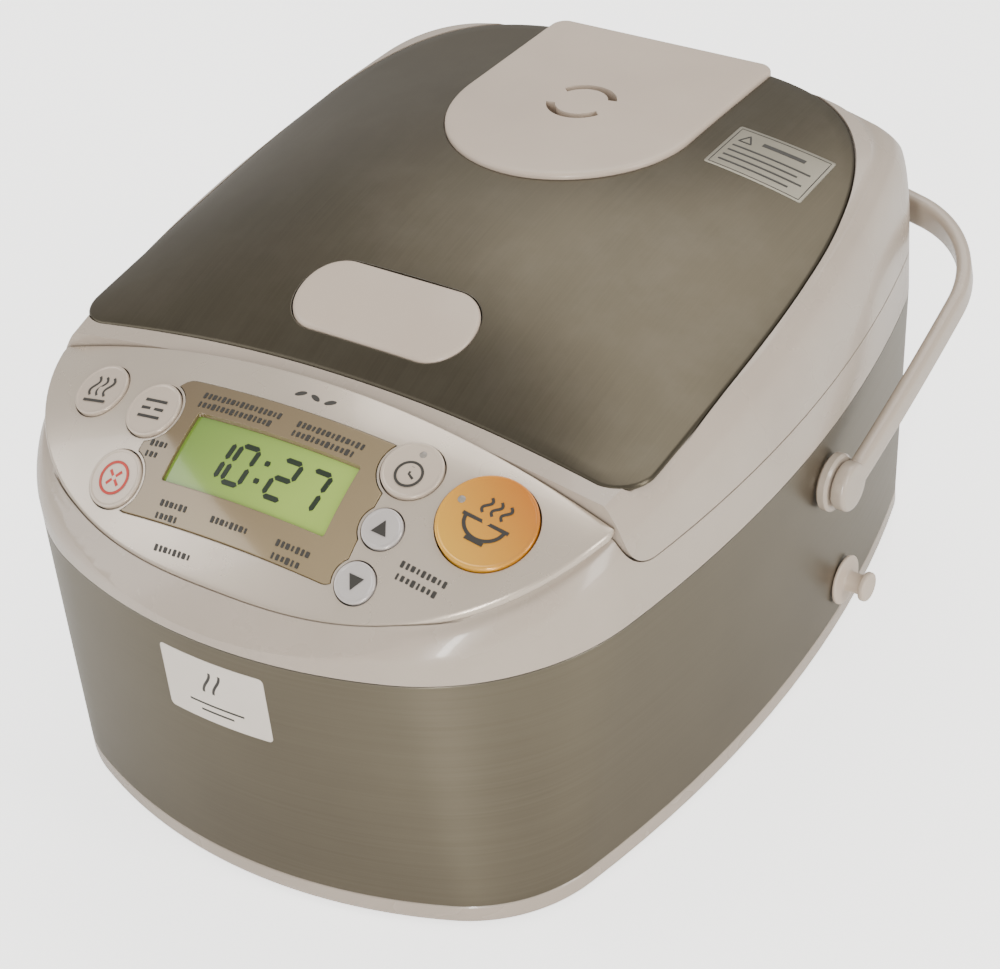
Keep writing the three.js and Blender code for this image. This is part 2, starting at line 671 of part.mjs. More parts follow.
function upperFrame() {
  const skinless = PANEL_SHEET + GAP;
  const consoleBack = frontEdge(0) + 2;
  const console = sheet(panelSurface, FAR_BELOW, SPAN_X, [-BODY_FRONT - 4, consoleBack], 10, 7);
  const deck = box(...SPAN_X, consoleBack - 1, BODY_REAR + 6, FAR_BELOW(), DECK_HEIGHT);
  const underTop = carve(console, [], [deck]);
  const zone = lidZone(SEAM);
  const inner = frameBlank(PLASTIC, true);
  const deckUnder = DECK_HEIGHT - PLASTIC;
  const underPanel = (x, y) => panelSurface(x, y) - skinless - 2;
  const consoleRoof = sheet(underPanel, FAR_BELOW, SPAN_X, [-BODY_FRONT - 4, consoleBack], 10, 7);
  const deckRoof = box(...SPAN_X, consoleBack - 1, BODY_REAR + 6, FAR_BELOW(), deckUnder);
  const roof = common(carve(consoleRoof, [], [deckRoof]), box(-200, 200, -200, 200, 60, deckUnder));
  const cavity = common(inner, roof);
  const consoleHollow = common(prism(panelPlan(PANEL_LEDGE), 60, 200), frameBlank(PLASTIC - 0.5, true));
  const recess = common(prism(panelPlan(-GAP - 0.1), 60, 200), panelSkin(-30, skinless));
  const lugs = [1, -1].map((side) => crossPrism([
    [HINGE_Y - LUG_RADIUS, deckUnder + 0.5],
    [HINGE_Y + LUG_RADIUS, deckUnder + 0.5],
    ...arc([HINGE_Y, HINGE_Z], LUG_RADIUS, 0, Math.PI, 8),
    [HINGE_Y - LUG_RADIUS, HINGE_Z],
  ], side * LUG_X - LUG_WIDTH / 2, side * LUG_X + LUG_WIDTH / 2));
  const postFoot = BASE_UNDERSIDE + BASE_FLOOR + GAP;
  const posts = POSTS.map(([x, y]) => rod(5, postFoot, deckUnder + 0.5, 12).translate(x, y, 0));
  const flangeEdge = WELL_RADIUS + WELL_FLANGE;
  const collar = tube(flangeEdge + 0.5, flangeEdge + 3, 99, deckUnder + 0.5, 32);
  const spigotFoot = BODY_HEIGHT - SPIGOT;
  const spigot = loft([
    ring(bodyPlan(spigotFoot, STEEL + GAP), spigotFoot),
    ring(bodyPlan(BODY_HEIGHT, STEEL + GAP), BODY_HEIGHT + 0.5),
    ring(bodyPlan(BODY_HEIGHT, STEEL + GAP + 2), BODY_HEIGHT + 0.5),
    ring(bodyPlan(spigotFoot, STEEL + GAP + 2), spigotFoot),
  ], true);
  const { halfWidth, thickness, y, barb } = LATCH;
  const slotRear = y + thickness + OPEN_TRAVEL + 0.8;
  const latchSlot = box(-halfWidth - 1, halfWidth + 1, y - barb - 1.6, slotRear, 60, 130);
  const shell = common(frameBlank(), underTop);
  let body = solid(shell);
  for (const cut of [zone, cavity, consoleHollow, recess]) body = body.subtract(solid(cut));
  for (const join of [...lugs, ...posts, collar.translate(0, PAN_Y, 0), spigot]) body = body.add(solid(join));
  const screwTop = BASE_UNDERSIDE + SCREW.length + 2;
  const cuts = [
    rod(DECK_HOLE, 90, 140, 36).translate(0, PAN_Y, 0),
    latchSlot,
    ...buttonRods(BUTTON_CLEARANCE),
    alongX(rod(HINGE_PIN_RADIUS + GAP, -60, 60, 16)).translate(0, HINGE_Y, HINGE_Z),
    ...POSTS.map(([px, py]) => rod(SCREW.shank + GAP, 0, screwTop, 12).translate(px, py, 0)),
  ];
  for (const cut of cuts) body = body.subtract(solid(cut));
  return geometryOf(body);
}

/** Turns a body that stands on the origin along +Z into its place on the panel. */
function panelPlace(x, y, depth = 0) {
  const normal = normalOf(panelSurface, x, y);
  const turn = new THREE.Quaternion().setFromUnitVectors(new THREE.Vector3(0, 0, 1), normal);
  const position = new THREE.Vector3(x, y, panelSurface(x, y)).addScaledVector(normal, -depth);
  return { position, turn };
}

function placed(geometry, x, y, depth = 0) {
  const { position, turn } = panelPlace(x, y, depth);
  return geometry.applyMatrix4(new THREE.Matrix4().compose(position, turn, new THREE.Vector3(1, 1, 1)));
}

/** A rod through the panel round every button, this much wider than the button. */
const buttonRods = (margin) => BUTTONS.map(({ x, y, radius }) => placed(rod(radius + margin, -20, 8, 18), x, y));

function panelCover() {
  const cover = common(panelSkin(0, PANEL_SHEET), prism(panelPlan(), 60, 200));
  const opening = carve(prism(windowPlan(GAP), 60, 200), buttonRods(WINDOW.notch - GAP));
  return carve(cover, [...buttonRods(BUTTON_CLEARANCE), opening]);
}

function lcdWindow() {
  return carve(common(panelSkin(-0.2, PANEL_SHEET), prism(windowPlan(), 60, 200)), buttonRods(WINDOW.notch));
}

/** Round push button with a soft top edge. */
function buttonGeometry(radius) {
  return turned([
    [0, -BUTTON_DEPTH], [radius, -BUTTON_DEPTH], [radius, BUTTON_PROUD - 0.5], [radius - 0.7, BUTTON_PROUD],
    [0, BUTTON_PROUD + 0.3],
  ], 18);
}

const LCD = { x: -3, y: -109.5, width: 62, depth: 27, height: 4 };
const lcdModule = () =>
  placed(
    box(-LCD.width / 2, LCD.width / 2, -LCD.depth / 2, LCD.depth / 2, -LCD.height, 0),
    LCD.x, LCD.y, PANEL_SHEET + 3,
  );

/** Circuit board behind the panel, with a connector and a buzzer on it. */
function controlBoard() {
  const tilt = 0.55;
  const level = (x, y) => panelSurface(0, -106) - 16 + tilt * (y + 106);
  const board = sheet(level, (x, y) => level(x, y) - 1.6, [-68, 68], [-113, -88], 4, 2);
  const connector = box(20, 36, -100, -94, level(0, -100) - 9, level(0, -94) - 1);
  const buzzer = rod(6, level(0, -104) - 9, level(0, -104) - 1, 16).translate(-30, -104, 0);
  return carve(board, [], [connector, buzzer]);
}

// ---- Pan, well and heaters -------------------------------------------------------------------

/** Rounded corner points of a turned profile, from the floor up or from the wall down. */
function cornerProfile(radius, z, corner, down = false) {
  const points = arc([radius - corner, z + corner], corner, -Math.PI / 2, 0, 4);
  points.push([radius, z + corner]);
  return down ? points.reverse() : points;
}

function innerPan() {
  const rim = PAN_RADIUS + PAN_RIM;
  return turned([
    [0, PAN_BOTTOM], ...cornerProfile(PAN_RADIUS, PAN_BOTTOM, PAN_CORNER),
    [PAN_RADIUS, PAN_TOP - PAN_WALL], [rim, PAN_TOP - PAN_WALL], [rim, PAN_TOP],
    [PAN_RADIUS - PAN_WALL, PAN_TOP],
    ...cornerProfile(PAN_RADIUS - PAN_WALL, PAN_BOTTOM + PAN_WALL, PAN_CORNER - PAN_WALL, true),
    [0, PAN_BOTTOM + PAN_WALL],
  ], 32);
}

function innerHousing() {
  const hole = SENSOR_RADIUS + 9;
  const flangeTop = PAN_TOP - PAN_WALL - GAP;
  const inner = WELL_RADIUS - WELL_WALL;
  return turned([
    [hole, WELL_FLOOR], [WELL_RADIUS, WELL_FLOOR], [WELL_RADIUS, flangeTop - WELL_WALL],
    [WELL_RADIUS + WELL_FLANGE, flangeTop - WELL_WALL], [WELL_RADIUS + WELL_FLANGE, flangeTop],
    [inner, flangeTop], [inner, WELL_FLOOR + WELL_WALL], [hole, WELL_FLOOR + WELL_WALL], [hole, WELL_FLOOR],
  ], 32);
}

const sideHeater = () => tube(WELL_RADIUS + GAP, WELL_RADIUS + 1.8, 52, 74, 32);

function heatingPlate() {
  const bottom = WELL_FLOOR + WELL_WALL + GAP;
  const top = PAN_BOTTOM - GAP;
  const hole = SENSOR_RADIUS + 1;
  return turned([
    [hole, bottom], [HEATER_RADIUS - 2, bottom], [HEATER_RADIUS, bottom + 2], [HEATER_RADIUS, top - 1],
    [HEATER_RADIUS - 1, top], [hole, top], [hole, bottom],
  ], 28);
}

const SENSOR_HEAD = 3.4;
const BRACKET = { top: WELL_FLOOR - GAP, thickness: 2, radius: SENSOR_RADIUS + 17 };

function centreSensor() {
  const top = PAN_BOTTOM - GAP;
  return turned([
    [0, BRACKET.top - 8], [SENSOR_STEM, BRACKET.top - 8], [SENSOR_STEM, top - SENSOR_HEAD],
    [SENSOR_RADIUS, top - SENSOR_HEAD], [SENSOR_RADIUS, top - 0.8], [SENSOR_RADIUS - 0.8, top], [0, top],
  ], 18);
}

const sensorBracket = () =>
  tube(SENSOR_STEM + 0.5, BRACKET.radius, BRACKET.top - BRACKET.thickness, BRACKET.top, 20);

const sensorSpring = () =>
  coil(SENSOR_STEM + 2.4, 0.6, 3, BRACKET.top + GAP, PAN_BOTTOM - GAP - SENSOR_HEAD - GAP);

/** Power board with a transformer, a relay and a capacitor. */
function powerBoard() {
  const level = BASE_UNDERSIDE + BASE_FLOOR + 4;
  const board = box(-58, 58, -130, -86, level, level + 1.6);
  return carve(board, [], [
    box(-50, -20, -124, -96, level + 1, level + 26),
    box(-8, 12, -122, -104, level + 1, level + 15),
    rod(7, level + 1, level + 22, 16).translate(34, -112, 0),
    ...[[-54, -126], [54, -126], [-54, -90], [54, -90]].map(([x, y]) =>
      rod(2.5, BASE_UNDERSIDE + BASE_FLOOR + GAP, level + 1, 8).translate(x, y, 0)),
  ]);
}

// ---- Handle ----------------------------------------------------------------------------------

const HANDLE_HALF = BODY_HALF_WIDTH + HANDLE_SIDE_CLEARANCE + HANDLE_THICKNESS / 2;

/** Half of the handle's centre line as (x, distance from the pivot), from the pivot to the middle. */
function handlePath() {
  const tilt = THREE.MathUtils.degToRad(HANDLE_TILT);
  const reach = (HANDLE_THICKNESS / 2 - HANDLE_ROUND) * Math.cos(tilt)
    + (GRIP_WIDTH / 2 - HANDLE_ROUND) * Math.sin(tilt) + HANDLE_ROUND;
  const length = (HANDLE_REAR - HANDLE_Y - reach) / Math.cos(tilt);
  const sideRadius = 1500;
  const rearRadius = 330;
  const side = [HANDLE_HALF - sideRadius, 0];
  const rear = [0, length - rearRadius];
  const bend = meet(side, sideRadius - HANDLE_BEND, rear, rearRadius - HANDLE_BEND, (p) => p[0] + p[1]);
  const turns = [0, angleTo(side, bend), angleTo(rear, bend), Math.PI / 2];
  return [
    ...arc(side, sideRadius, turns[0], turns[1], 4),
    ...arc(bend, HANDLE_BEND, turns[1], turns[2], 8),
    ...arc(rear, rearRadius, turns[2], turns[3], 4),
    [0, length],
  ];
}

function handle() {
  const half = handlePath();
  const path = [...half.map(([x, s]) => [-x, s]), ...half.slice(0, -1).reverse()];
  const tilt = THREE.MathUtils.degToRad(HANDLE_TILT);
  const rings = path.map(([x, s], i) => {
    const before = path[Math.max(i - 1, 0)];
    const after = path[Math.min(i + 1, path.length - 1)];
    const length = Math.hypot(after[0] - before[0], after[1] - before[1]);
    const outward = [-(after[1] - before[1]) / length, (after[0] - before[0]) / length];
    const grip = THREE.MathUtils.smoothstep(s, half[4][1], half[half.length - 4][1]);
    const width = THREE.MathUtils.lerp(ARM_WIDTH, GRIP_WIDTH, grip);
    const section = roundedRectangle(0, 0, HANDLE_THICKNESS, width, HANDLE_ROUND, 1);
    return section.map(([across, up]) => [x + across * outward[0], s + across * outward[1], up]);
  });
  const ends = [1, -1].map((side) =>
    alongX(turned([
      [0, -HANDLE_THICKNESS / 2], [HANDLE_END_RADIUS, -HANDLE_THICKNESS / 2], [HANDLE_END_RADIUS, 1],
      [HANDLE_END_RADIUS - 1.5, HANDLE_THICKNESS / 2], [0, HANDLE_THICKNESS / 2],
    ], 24), side).translate(side * HANDLE_HALF, 0, 0));
  const sockets = [1, -1].map((side) => {
    const inside = HANDLE_HALF - HANDLE_THICKNESS / 2;
    return alongX(rod(PIN_RADIUS + GAP, 0, 4.2, 20), side).translate(side * (inside - 1), 0, 0);
  });
  let body = solid(loft(rings));
  for (const join of ends) body = body.add(solid(join));
  for (const cut of sockets) body = body.subtract(solid(cut));
  return geometryOf(body).rotateX(tilt);
}

/** Everything inside the path that the handle sweeps behind its pivot, less a clearance. */
function handleSweep() {
  const offset = HANDLE_THICKNESS / 2 + HANDLE_CLEARANCE;
  const half = handlePath();
  const inside = half.map(([x, s], i) => {
    const before = half[Math.max(i - 1, 0)];
    const after = half[Math.min(i + 1, half.length - 1)];
    const length = Math.hypot(after[0] - before[0], after[1] - before[1]);
    return [s + (offset * (after[0] - before[0])) / length, x - (offset * (after[1] - before[1])) / length];
  }).filter(([s]) => s > 1);
  const widest = inside[0][1];
  const profile = [
    [0, -widest], ...inside.map(([s, x]) => [s, -x]), ...inside.slice(0, -1).reverse().map(([s, x]) => [s, x]),
    [0, widest],
  ];
  profile[inside.length][1] = 0;
  const swept = alongX(turned(profile, 48)).translate(0, HANDLE_Y, HANDLE_Z);
  return carve(swept, [], [box(-200, 200, -200, HANDLE_Y, 0, 300)]);
}

/** Round spacer between the steel wall and the handle, along +X from the wall. */
function handleBoss() {
  const wall = sideX(HANDLE_Y, HANDLE_Z);
  const outer = HANDLE_HALF - HANDLE_THICKNESS / 2 - 0.4;
  return tube(PIN_RADIUS + GAP, 9.5, wall + 0.75, outer, 24);
}

/** Pivot pin with a head inside the shell, along +X. */
function handlePin() {
  const head = sideX(HANDLE_Y, HANDLE_Z) - STEEL - 3.4;
  const end = HANDLE_HALF - HANDLE_THICKNESS / 2 + 2.8;
  const shoulder = head + 2.2;
  return turned([[0, head], [8, head], [8, shoulder], [PIN_RADIUS, shoulder], [PIN_RADIUS, end], [0, end]], 20);
}

// ---- Lid -------------------------------------------------------------------------------------

const COVER = { bottom: LID_BOTTOM + GAP, thickness: 2.5 };

function lidFrame() {
  const top = common(lidBlank(), underLid(), lidZone(0), handleSweep());
  const plateFloor = PLATE_SHEET + GAP;
  const skin = plateFloor + 2.5;
  const hollowZone = crossPrism([
    [frontEdge(0, RIM_WIDTH) + PLASTIC, LID_BOTTOM - 2], [HINGE_Y - HINGE_BARREL - 2, LID_BOTTOM - 2],
    [HINGE_Y - HINGE_BARREL - 2, 200], [frontEdge(0, RIM_WIDTH) + PLASTIC, 200],
  ], -200, 200);
  const hollow = common(lidBlank(PLASTIC, true), underLid(skin + 0.4, 6), hollowZone);
  const barrel = alongX(rod(HINGE_BARREL - 0.4, -52, 52, 24)).translate(0, HINGE_Y, HINGE_Z);
  const knuckles = [1, -1].map((side) =>
    box(side * LUG_X - LUG_WIDTH / 2 - 1, side * LUG_X + LUG_WIDTH / 2 + 1,
      HINGE_Y - LUG_RADIUS - 1.2, HINGE_Y + 30,
      LID_BOTTOM - 8, HINGE_Z + LUG_RADIUS + 1.2));
  const springPocket = alongX(rod(7.6, -9, 9, 20)).translate(0, HINGE_Y, HINGE_Z);
  const springMouth = box(-8.6, 8.6, HINGE_Y - 4, HINGE_Y + 4, LID_BOTTOM - 4, HINGE_Z);
  let body = solid(top).subtract(solid(hollow)).add(solid(common(barrel, lidZone(0))));
  const cuts = [
    common(carve(prism(platePlan(GAP), 60, 240), [], [prism(capPlan(0.4), 60, 240)]), overLid(plateFloor)),
    prism(openButtonPlan(0.6), 100, 240),
    rod(DUCT_RADIUS - DUCT_WALL, 100, 240, 28).translate(0, VENT_Y, 0),
    ...knuckles,
    springPocket,
    springMouth,
    alongX(rod(HINGE_PIN_RADIUS + GAP, -60, 60, 16)).translate(0, HINGE_Y, HINGE_Z),
  ];
  for (const cut of cuts) body = body.subtract(solid(cut));
  return geometryOf(body);
}

function lidTopPlate() {
  const plate = common(lidSkin(0, PLATE_SHEET), prism(platePlan(), 60, 240));
  return carve(plate, [prism(capPlan(0.4), 60, 240), prism(openButtonPlan(0.4), 60, 240)]);
}

/** Loose steam cap: a tongue on top, a plug tube under it, and two curved vent slots through it. */
function steamCap() {
  const plug = { outer: DUCT_RADIUS - DUCT_WALL - 1.2, wall: 2, depth: 16 };
  const top = common(lidSkin(-CAP_PROUD, PLATE_SHEET), prism(capPlan(), 60, 240));
  const level = lidSurface(0, VENT_Y);
  const tubeBody = tube(plug.outer - plug.wall, plug.outer, level - plug.depth, level, 28)
    .translate(0, VENT_Y, 0);
  const slot = (start) => {
    const from = THREE.MathUtils.degToRad(start);
    const to = THREE.MathUtils.degToRad(start + 130);
    const outside = arc([0, VENT_Y], 11.5, from, to, 10);
    const inside = arc([0, VENT_Y], 8.6, to, from, 10);
    return prism([...outside, ...inside], level - 8, level + 8);
  };
  return carve(top, [slot(25), slot(205)], [tubeBody]);
}

/** Steam passage between the inner cover and the cap. */
function steamDuct() {
  const top = lidSurface(DUCT_RADIUS, VENT_Y - DUCT_RADIUS) - PLATE_SHEET - GAP - 2.5 - GAP - 1.6;
  return tube(DUCT_RADIUS - DUCT_WALL, DUCT_RADIUS, COVER.bottom + COVER.thickness + GAP, top, 28);
}

/** Plastic floor of the lid, with the steam hole and the latch slot. */
function lidInnerCover() {
  const { bottom, thickness } = COVER;
  const blank = loft([
    ring(plan({ ...TOP_PLAN, inset: PLASTIC + 3 * GAP }), bottom),
    ring(plan({ ...TOP_PLAN, inset: PLASTIC + 3 * GAP }), bottom + thickness),
  ]);
  const front = frontEdge(0, RIM_WIDTH) + LID_CORNER;
  const zone = box(-200, 200, front, HINGE_Y - HINGE_BARREL - 3, 100, 130);
  const { halfWidth, thickness: hook, y, barb } = LATCH;
  const slot = box(-halfWidth - 1, halfWidth + 1, y - barb - 2, y + hook + OPEN_TRAVEL + 0.8, 100, 130);
  return carve(common(blank, zone), [slot, rod(9, 100, 130, 20).translate(0, VENT_Y, 0)]);
}

const INNER_LID = { radius: PAN_RADIUS - 2.5, top: LID_BOTTOM - 0.1, thickness: 1.2 };

/** Removable aluminium disc that closes the pan, dished at its edge, with a steam hole. */
function innerLid() {
  const { radius, top, thickness } = INNER_LID;
  const disc = turned([
    [0, top - thickness], [radius - 12, top - thickness],
    [radius - 8, top - thickness - 2], [radius, top - thickness - 2],
    [radius, top - 2], [radius - 7.4, top - 2], [radius - 11.4, top], [0, top],
  ], 32).translate(0, PAN_Y, 0);
  return carve(disc, [rod(5, 90, 130, 16).translate(0, VENT_Y, 0)]);
}

/** Soft ring round the inner lid that seals on the pan's rim. */
const innerLidGasket = () =>
  tube(INNER_LID.radius + GAP, INNER_LID.radius + 6, PAN_TOP + GAP, INNER_LID.top, 32).translate(0, PAN_Y, 0);

function openButton() {
  const { height, proud } = OPEN_BUTTON;
  return common(lidSkin(-proud, height), prism(openButtonPlan(), 60, 240));
}

const BUTTON_SPRING = { x: 0, y: OPEN_BUTTON.y + 2, radius: 5 };

function openButtonSpring() {
  const { x, y, radius } = BUTTON_SPRING;
  const low = COVER.bottom + COVER.thickness + 4.2;
  const high = lidSurface(x, y - radius) - OPEN_BUTTON.height - GAP - 0.6;
  return coil(radius, 0.6, 4, low, high).translate(x, y, 0);
}

/** Sliding latch: a plate over the inner cover with a hook that reaches down into the deck. */
function lidLatch() {
  const { halfWidth, thickness, y, depth, barb } = LATCH;
  const level = COVER.bottom + COVER.thickness + GAP;
  const plate = box(-halfWidth - 8, halfWidth + 8, y + 0.4, OPEN_BUTTON.y + 8, level, level + 2.6);
  const hook = crossPrism([
    [y, level + 2.6], [y, LID_BOTTOM - depth + 3],
    [y - barb, LID_BOTTOM - depth + 1.5], [y - barb + 0.6, LID_BOTTOM - depth],
    [y + thickness, LID_BOTTOM - depth], [y + thickness, level + 2.6],
  ], -halfWidth, halfWidth);
  return carve(plate, [], [hook]);
}

const hingePin = () => rod(HINGE_PIN_RADIUS, -51, 51, 16);
const hingeSpring = () => coil(4.6, 0.8, 4, -8, 8);

// ---- Assembly --------------------------------------------------------------------------------

const cooker = new THREE.Group();
const body = new THREE.Group();
const lid = new THREE.Group();
body.position.y = -CENTRE_Y;
lid.position.y = -CENTRE_Y;
cooker.add(body, lid);

/** Adds one named piece to a group. */
function add(group, name, geometry, material, position = [0, 0, 0]) {
  const mesh = new THREE.Mesh(geometry, material);
  mesh.name = name;
  mesh.position.set(...position);
  group.add(mesh);
  return mesh;
}

add(body, 'base_tray', baseTray(), BODY_PLASTIC);
POSTS.forEach(([x, y], i) => {
  const inward = 0.86;
  add(body, `foot_${i + 1}`, footGeometry(), RUBBER, [x * inward - Math.sign(x) * 4, y * inward, 0]);
  add(body, `base_screw_${i + 1}`, screwGeometry(), ZINC, [x, y, BASE_UNDERSIDE + 0.3]);
});
add(body, 'outer_shell', outerShell(), STEEL_BODY);
add(body, 'cord_gland', cordGland(), RUBBER, [GLAND.x, rearY(GLAND.x, GLAND.z), GLAND.z]);
add(body, 'spatula_hook', spatulaHook(), BODY_PLASTIC, [sideX(HOOK.y, HOOK.z), HOOK.y, HOOK.z]);
add(body, 'upper_frame', upperFrame(), BODY_PLASTIC);
add(body, 'panel_cover', panelCover(), PANEL_SILVER);
add(body, 'lcd_window', lcdWindow(), WINDOW_BRONZE);
add(body, 'lcd_module', lcdModule(), LCD_GREEN);
add(body, 'control_board', controlBoard(), BOARD_GREEN);
for (const { name, x, y, radius, colour } of BUTTONS) {
  const { position, turn } = panelPlace(x, y);
  const mesh = add(body, name, buttonGeometry(radius), paint(colour, 0.35, 0.2), position.toArray());
  mesh.quaternion.copy(turn);
}
add(body, 'inner_housing', innerHousing(), ALUMINIUM, [0, PAN_Y, 0]);
add(body, 'side_heater', sideHeater(), ZINC, [0, PAN_Y, 0]);
add(body, 'heating_plate', heatingPlate(), ALUMINIUM, [0, PAN_Y, 0]);
add(body, 'centre_sensor', centreSensor(), ALUMINIUM, [0, PAN_Y, 0]);
add(body, 'sensor_spring', sensorSpring(), ZINC, [0, PAN_Y, 0]);
add(body, 'sensor_bracket', sensorBracket(), ZINC, [0, PAN_Y, 0]);
add(body, 'power_board', powerBoard(), BOARD_GREEN);
add(body, 'inner_pan', innerPan(), PAN_GREY, [0, PAN_Y, 0]);
add(body, 'handle', handle(), BODY_PLASTIC, [0, HANDLE_Y, HANDLE_Z]);
for (const [side, label] of [[1, 'right'], [-1, 'left']]) {
  const pivot = [0, HANDLE_Y, HANDLE_Z];
  add(body, `handle_boss_${label}`, alongX(handleBoss(), side), BODY_PLASTIC, pivot);
  add(body, `handle_pin_${label}`, alongX(handlePin(), side), ZINC, pivot);
}
add(body, 'hinge_pin', alongX(hingePin()), ZINC, [0, HINGE_Y, HINGE_Z]);
add(body, 'hinge_spring', alongX(hingeSpring()), ZINC, [0, HINGE_Y, HINGE_Z]);

add(lid, 'lid_frame', lidFrame(), BODY_PLASTIC);
add(lid, 'lid_top_plate', lidTopPlate(), STEEL_LID);
add(lid, 'lid_inner_cover', lidInnerCover(), BODY_PLASTIC);
add(lid, 'inner_lid', innerLid(), ALUMINIUM);
add(lid, 'inner_lid_gasket', innerLidGasket(), SILICONE);
add(lid, 'steam_cap', steamCap(), CAP_PLASTIC);
add(lid, 'steam_duct', steamDuct(), CAP_PLASTIC, [0, VENT_Y, 0]);
add(lid, 'open_button', openButton(), CAP_PLASTIC);
add(lid, 'open_button_spring', openButtonSpring(), ZINC);
add(lid, 'lid_latch', lidLatch(), CAP_PLASTIC);

export default cooker;
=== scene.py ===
"""Finished look of a small rice cooker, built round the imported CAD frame.

Lengths inside the classes are millimetres in the frame's own axes; a piece's mesh is scaled to
metres once, when it is finished. +Z is up and the control panel faces -Y.
"""

from __future__ import annotations

import json
import logging
import math
from dataclasses import dataclass
from enum import Enum
from typing import Callable, Iterable, Optional, Sequence

import bmesh
import bpy
from mathutils import Matrix, Vector

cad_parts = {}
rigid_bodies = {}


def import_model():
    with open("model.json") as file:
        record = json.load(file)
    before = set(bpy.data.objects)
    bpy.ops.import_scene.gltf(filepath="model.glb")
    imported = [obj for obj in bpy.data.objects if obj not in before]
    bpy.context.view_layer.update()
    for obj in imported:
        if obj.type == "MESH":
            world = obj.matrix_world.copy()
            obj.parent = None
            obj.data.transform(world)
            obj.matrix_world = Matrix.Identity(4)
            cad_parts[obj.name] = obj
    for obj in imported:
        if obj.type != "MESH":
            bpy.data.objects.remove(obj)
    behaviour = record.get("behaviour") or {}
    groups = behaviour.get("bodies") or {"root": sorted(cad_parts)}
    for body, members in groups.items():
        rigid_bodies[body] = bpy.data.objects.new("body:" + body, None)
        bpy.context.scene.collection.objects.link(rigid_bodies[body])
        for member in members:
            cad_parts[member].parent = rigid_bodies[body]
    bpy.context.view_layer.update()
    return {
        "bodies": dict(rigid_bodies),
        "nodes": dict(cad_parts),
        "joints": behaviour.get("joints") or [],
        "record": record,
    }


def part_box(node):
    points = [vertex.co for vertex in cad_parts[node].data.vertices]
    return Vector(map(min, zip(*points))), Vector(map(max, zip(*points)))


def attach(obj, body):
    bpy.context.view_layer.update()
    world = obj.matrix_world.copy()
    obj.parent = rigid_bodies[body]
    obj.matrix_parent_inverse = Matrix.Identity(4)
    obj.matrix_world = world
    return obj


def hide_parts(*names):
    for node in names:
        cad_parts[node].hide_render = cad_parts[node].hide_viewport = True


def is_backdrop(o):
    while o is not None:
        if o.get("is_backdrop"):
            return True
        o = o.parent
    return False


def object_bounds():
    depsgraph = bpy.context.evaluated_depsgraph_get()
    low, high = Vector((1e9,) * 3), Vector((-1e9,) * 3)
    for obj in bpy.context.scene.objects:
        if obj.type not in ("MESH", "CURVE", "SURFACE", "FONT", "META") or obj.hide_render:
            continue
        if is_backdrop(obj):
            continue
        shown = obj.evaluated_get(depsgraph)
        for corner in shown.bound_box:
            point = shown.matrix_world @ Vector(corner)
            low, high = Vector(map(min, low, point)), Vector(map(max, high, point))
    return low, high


LOG = logging.getLogger("rice_cooker")
MM = 0.001

Point2 = tuple[float, float]
Point3 = tuple[float, float, float]
Height = Callable[[float, float], float]


# ---- Plans and surfaces ---------------------------------------------------------------------


def mix(a: float, b: float, share: float) -> float:
    """Returns the value that lies this share of the way from a to b."""
    return a + (b - a) * share


def clamp(value: float, low: float, high: float) -> float:
    """Returns the value held between two limits."""
    return max(low, min(high, value))


def arc(centre: Point2, radius: float, start: float, end: float, steps: int) -> list[Point2]:
    """Points on an arc, without its last one.

    Args:
        centre: Middle of the circle.
        radius: Its radius.
        start: First angle in radians.
        end: Last angle in radians.
        steps: How many points.

    Returns:
        The points in order.
    """
    angles = [start + (end - start) * i / steps for i in range(steps)]
    return [(centre[0] + radius * math.cos(a), centre[1] + radius * math.sin(a)) for a in angles]


def angle_to(start: Point2, end: Point2) -> float:
    """Returns the direction from one point to another, in radians."""
    return math.atan2(end[1] - start[1], end[0] - start[0])


def meet(a: Point2, radius_a: float, b: Point2, radius_b: float, pick: Callable[[Point2], float]) -> Point2:
    """Where two circles meet.

    Args:
        a: Middle of the first circle.
        radius_a: Its radius.
        b: Middle of the second circle.
        radius_b: Its radius.
        pick: Scores a point; the crossing with the higher score is taken.

    Returns:
        The crossing point.
    """
    dx, dy = b[0] - a[0], b[1] - a[1]
    distance = math.hypot(dx, dy)
    along = (radius_a**2 - radius_b**2 + distance**2) / (2 * distance)
    across = math.sqrt(max(radius_a**2 - along**2, 0))
    ends = [
        (a[0] + (along * dx - side * across * dy) / distance, a[1] + (along * dy + side * across * dx) / distance)
        for side in (1, -1)
    ]
    return max(ends, key=pick)


def smooth_rows(rows: Sequence[Sequence[float]], steps: int) -> list[list[float]]:
    """Rows of numbers with smoothly curving rows added between them.

    Args:
        rows: The rows to pass through.
        steps: How many rows each interval becomes.

    Returns:
        The longer list, the first and last rows as given.
    """
    result: list[list[float]] = []
    last = len(rows) - 1
    for i in range(last):
        before, a, b, after = rows[max(i - 1, 0)], rows[i], rows[i + 1], rows[min(i + 2, last)]
        for k in range(steps):
            t = k / steps
            result.append([
                0.5 * (2 * q + (r - p) * t + (2 * p - 5 * q + 4 * r - s) * t**2 + (3 * q - p - 3 * r + s) * t**3)
                for p, q, r, s in zip(before, a, b, after)
            ])
    return result + [list(rows[last])]


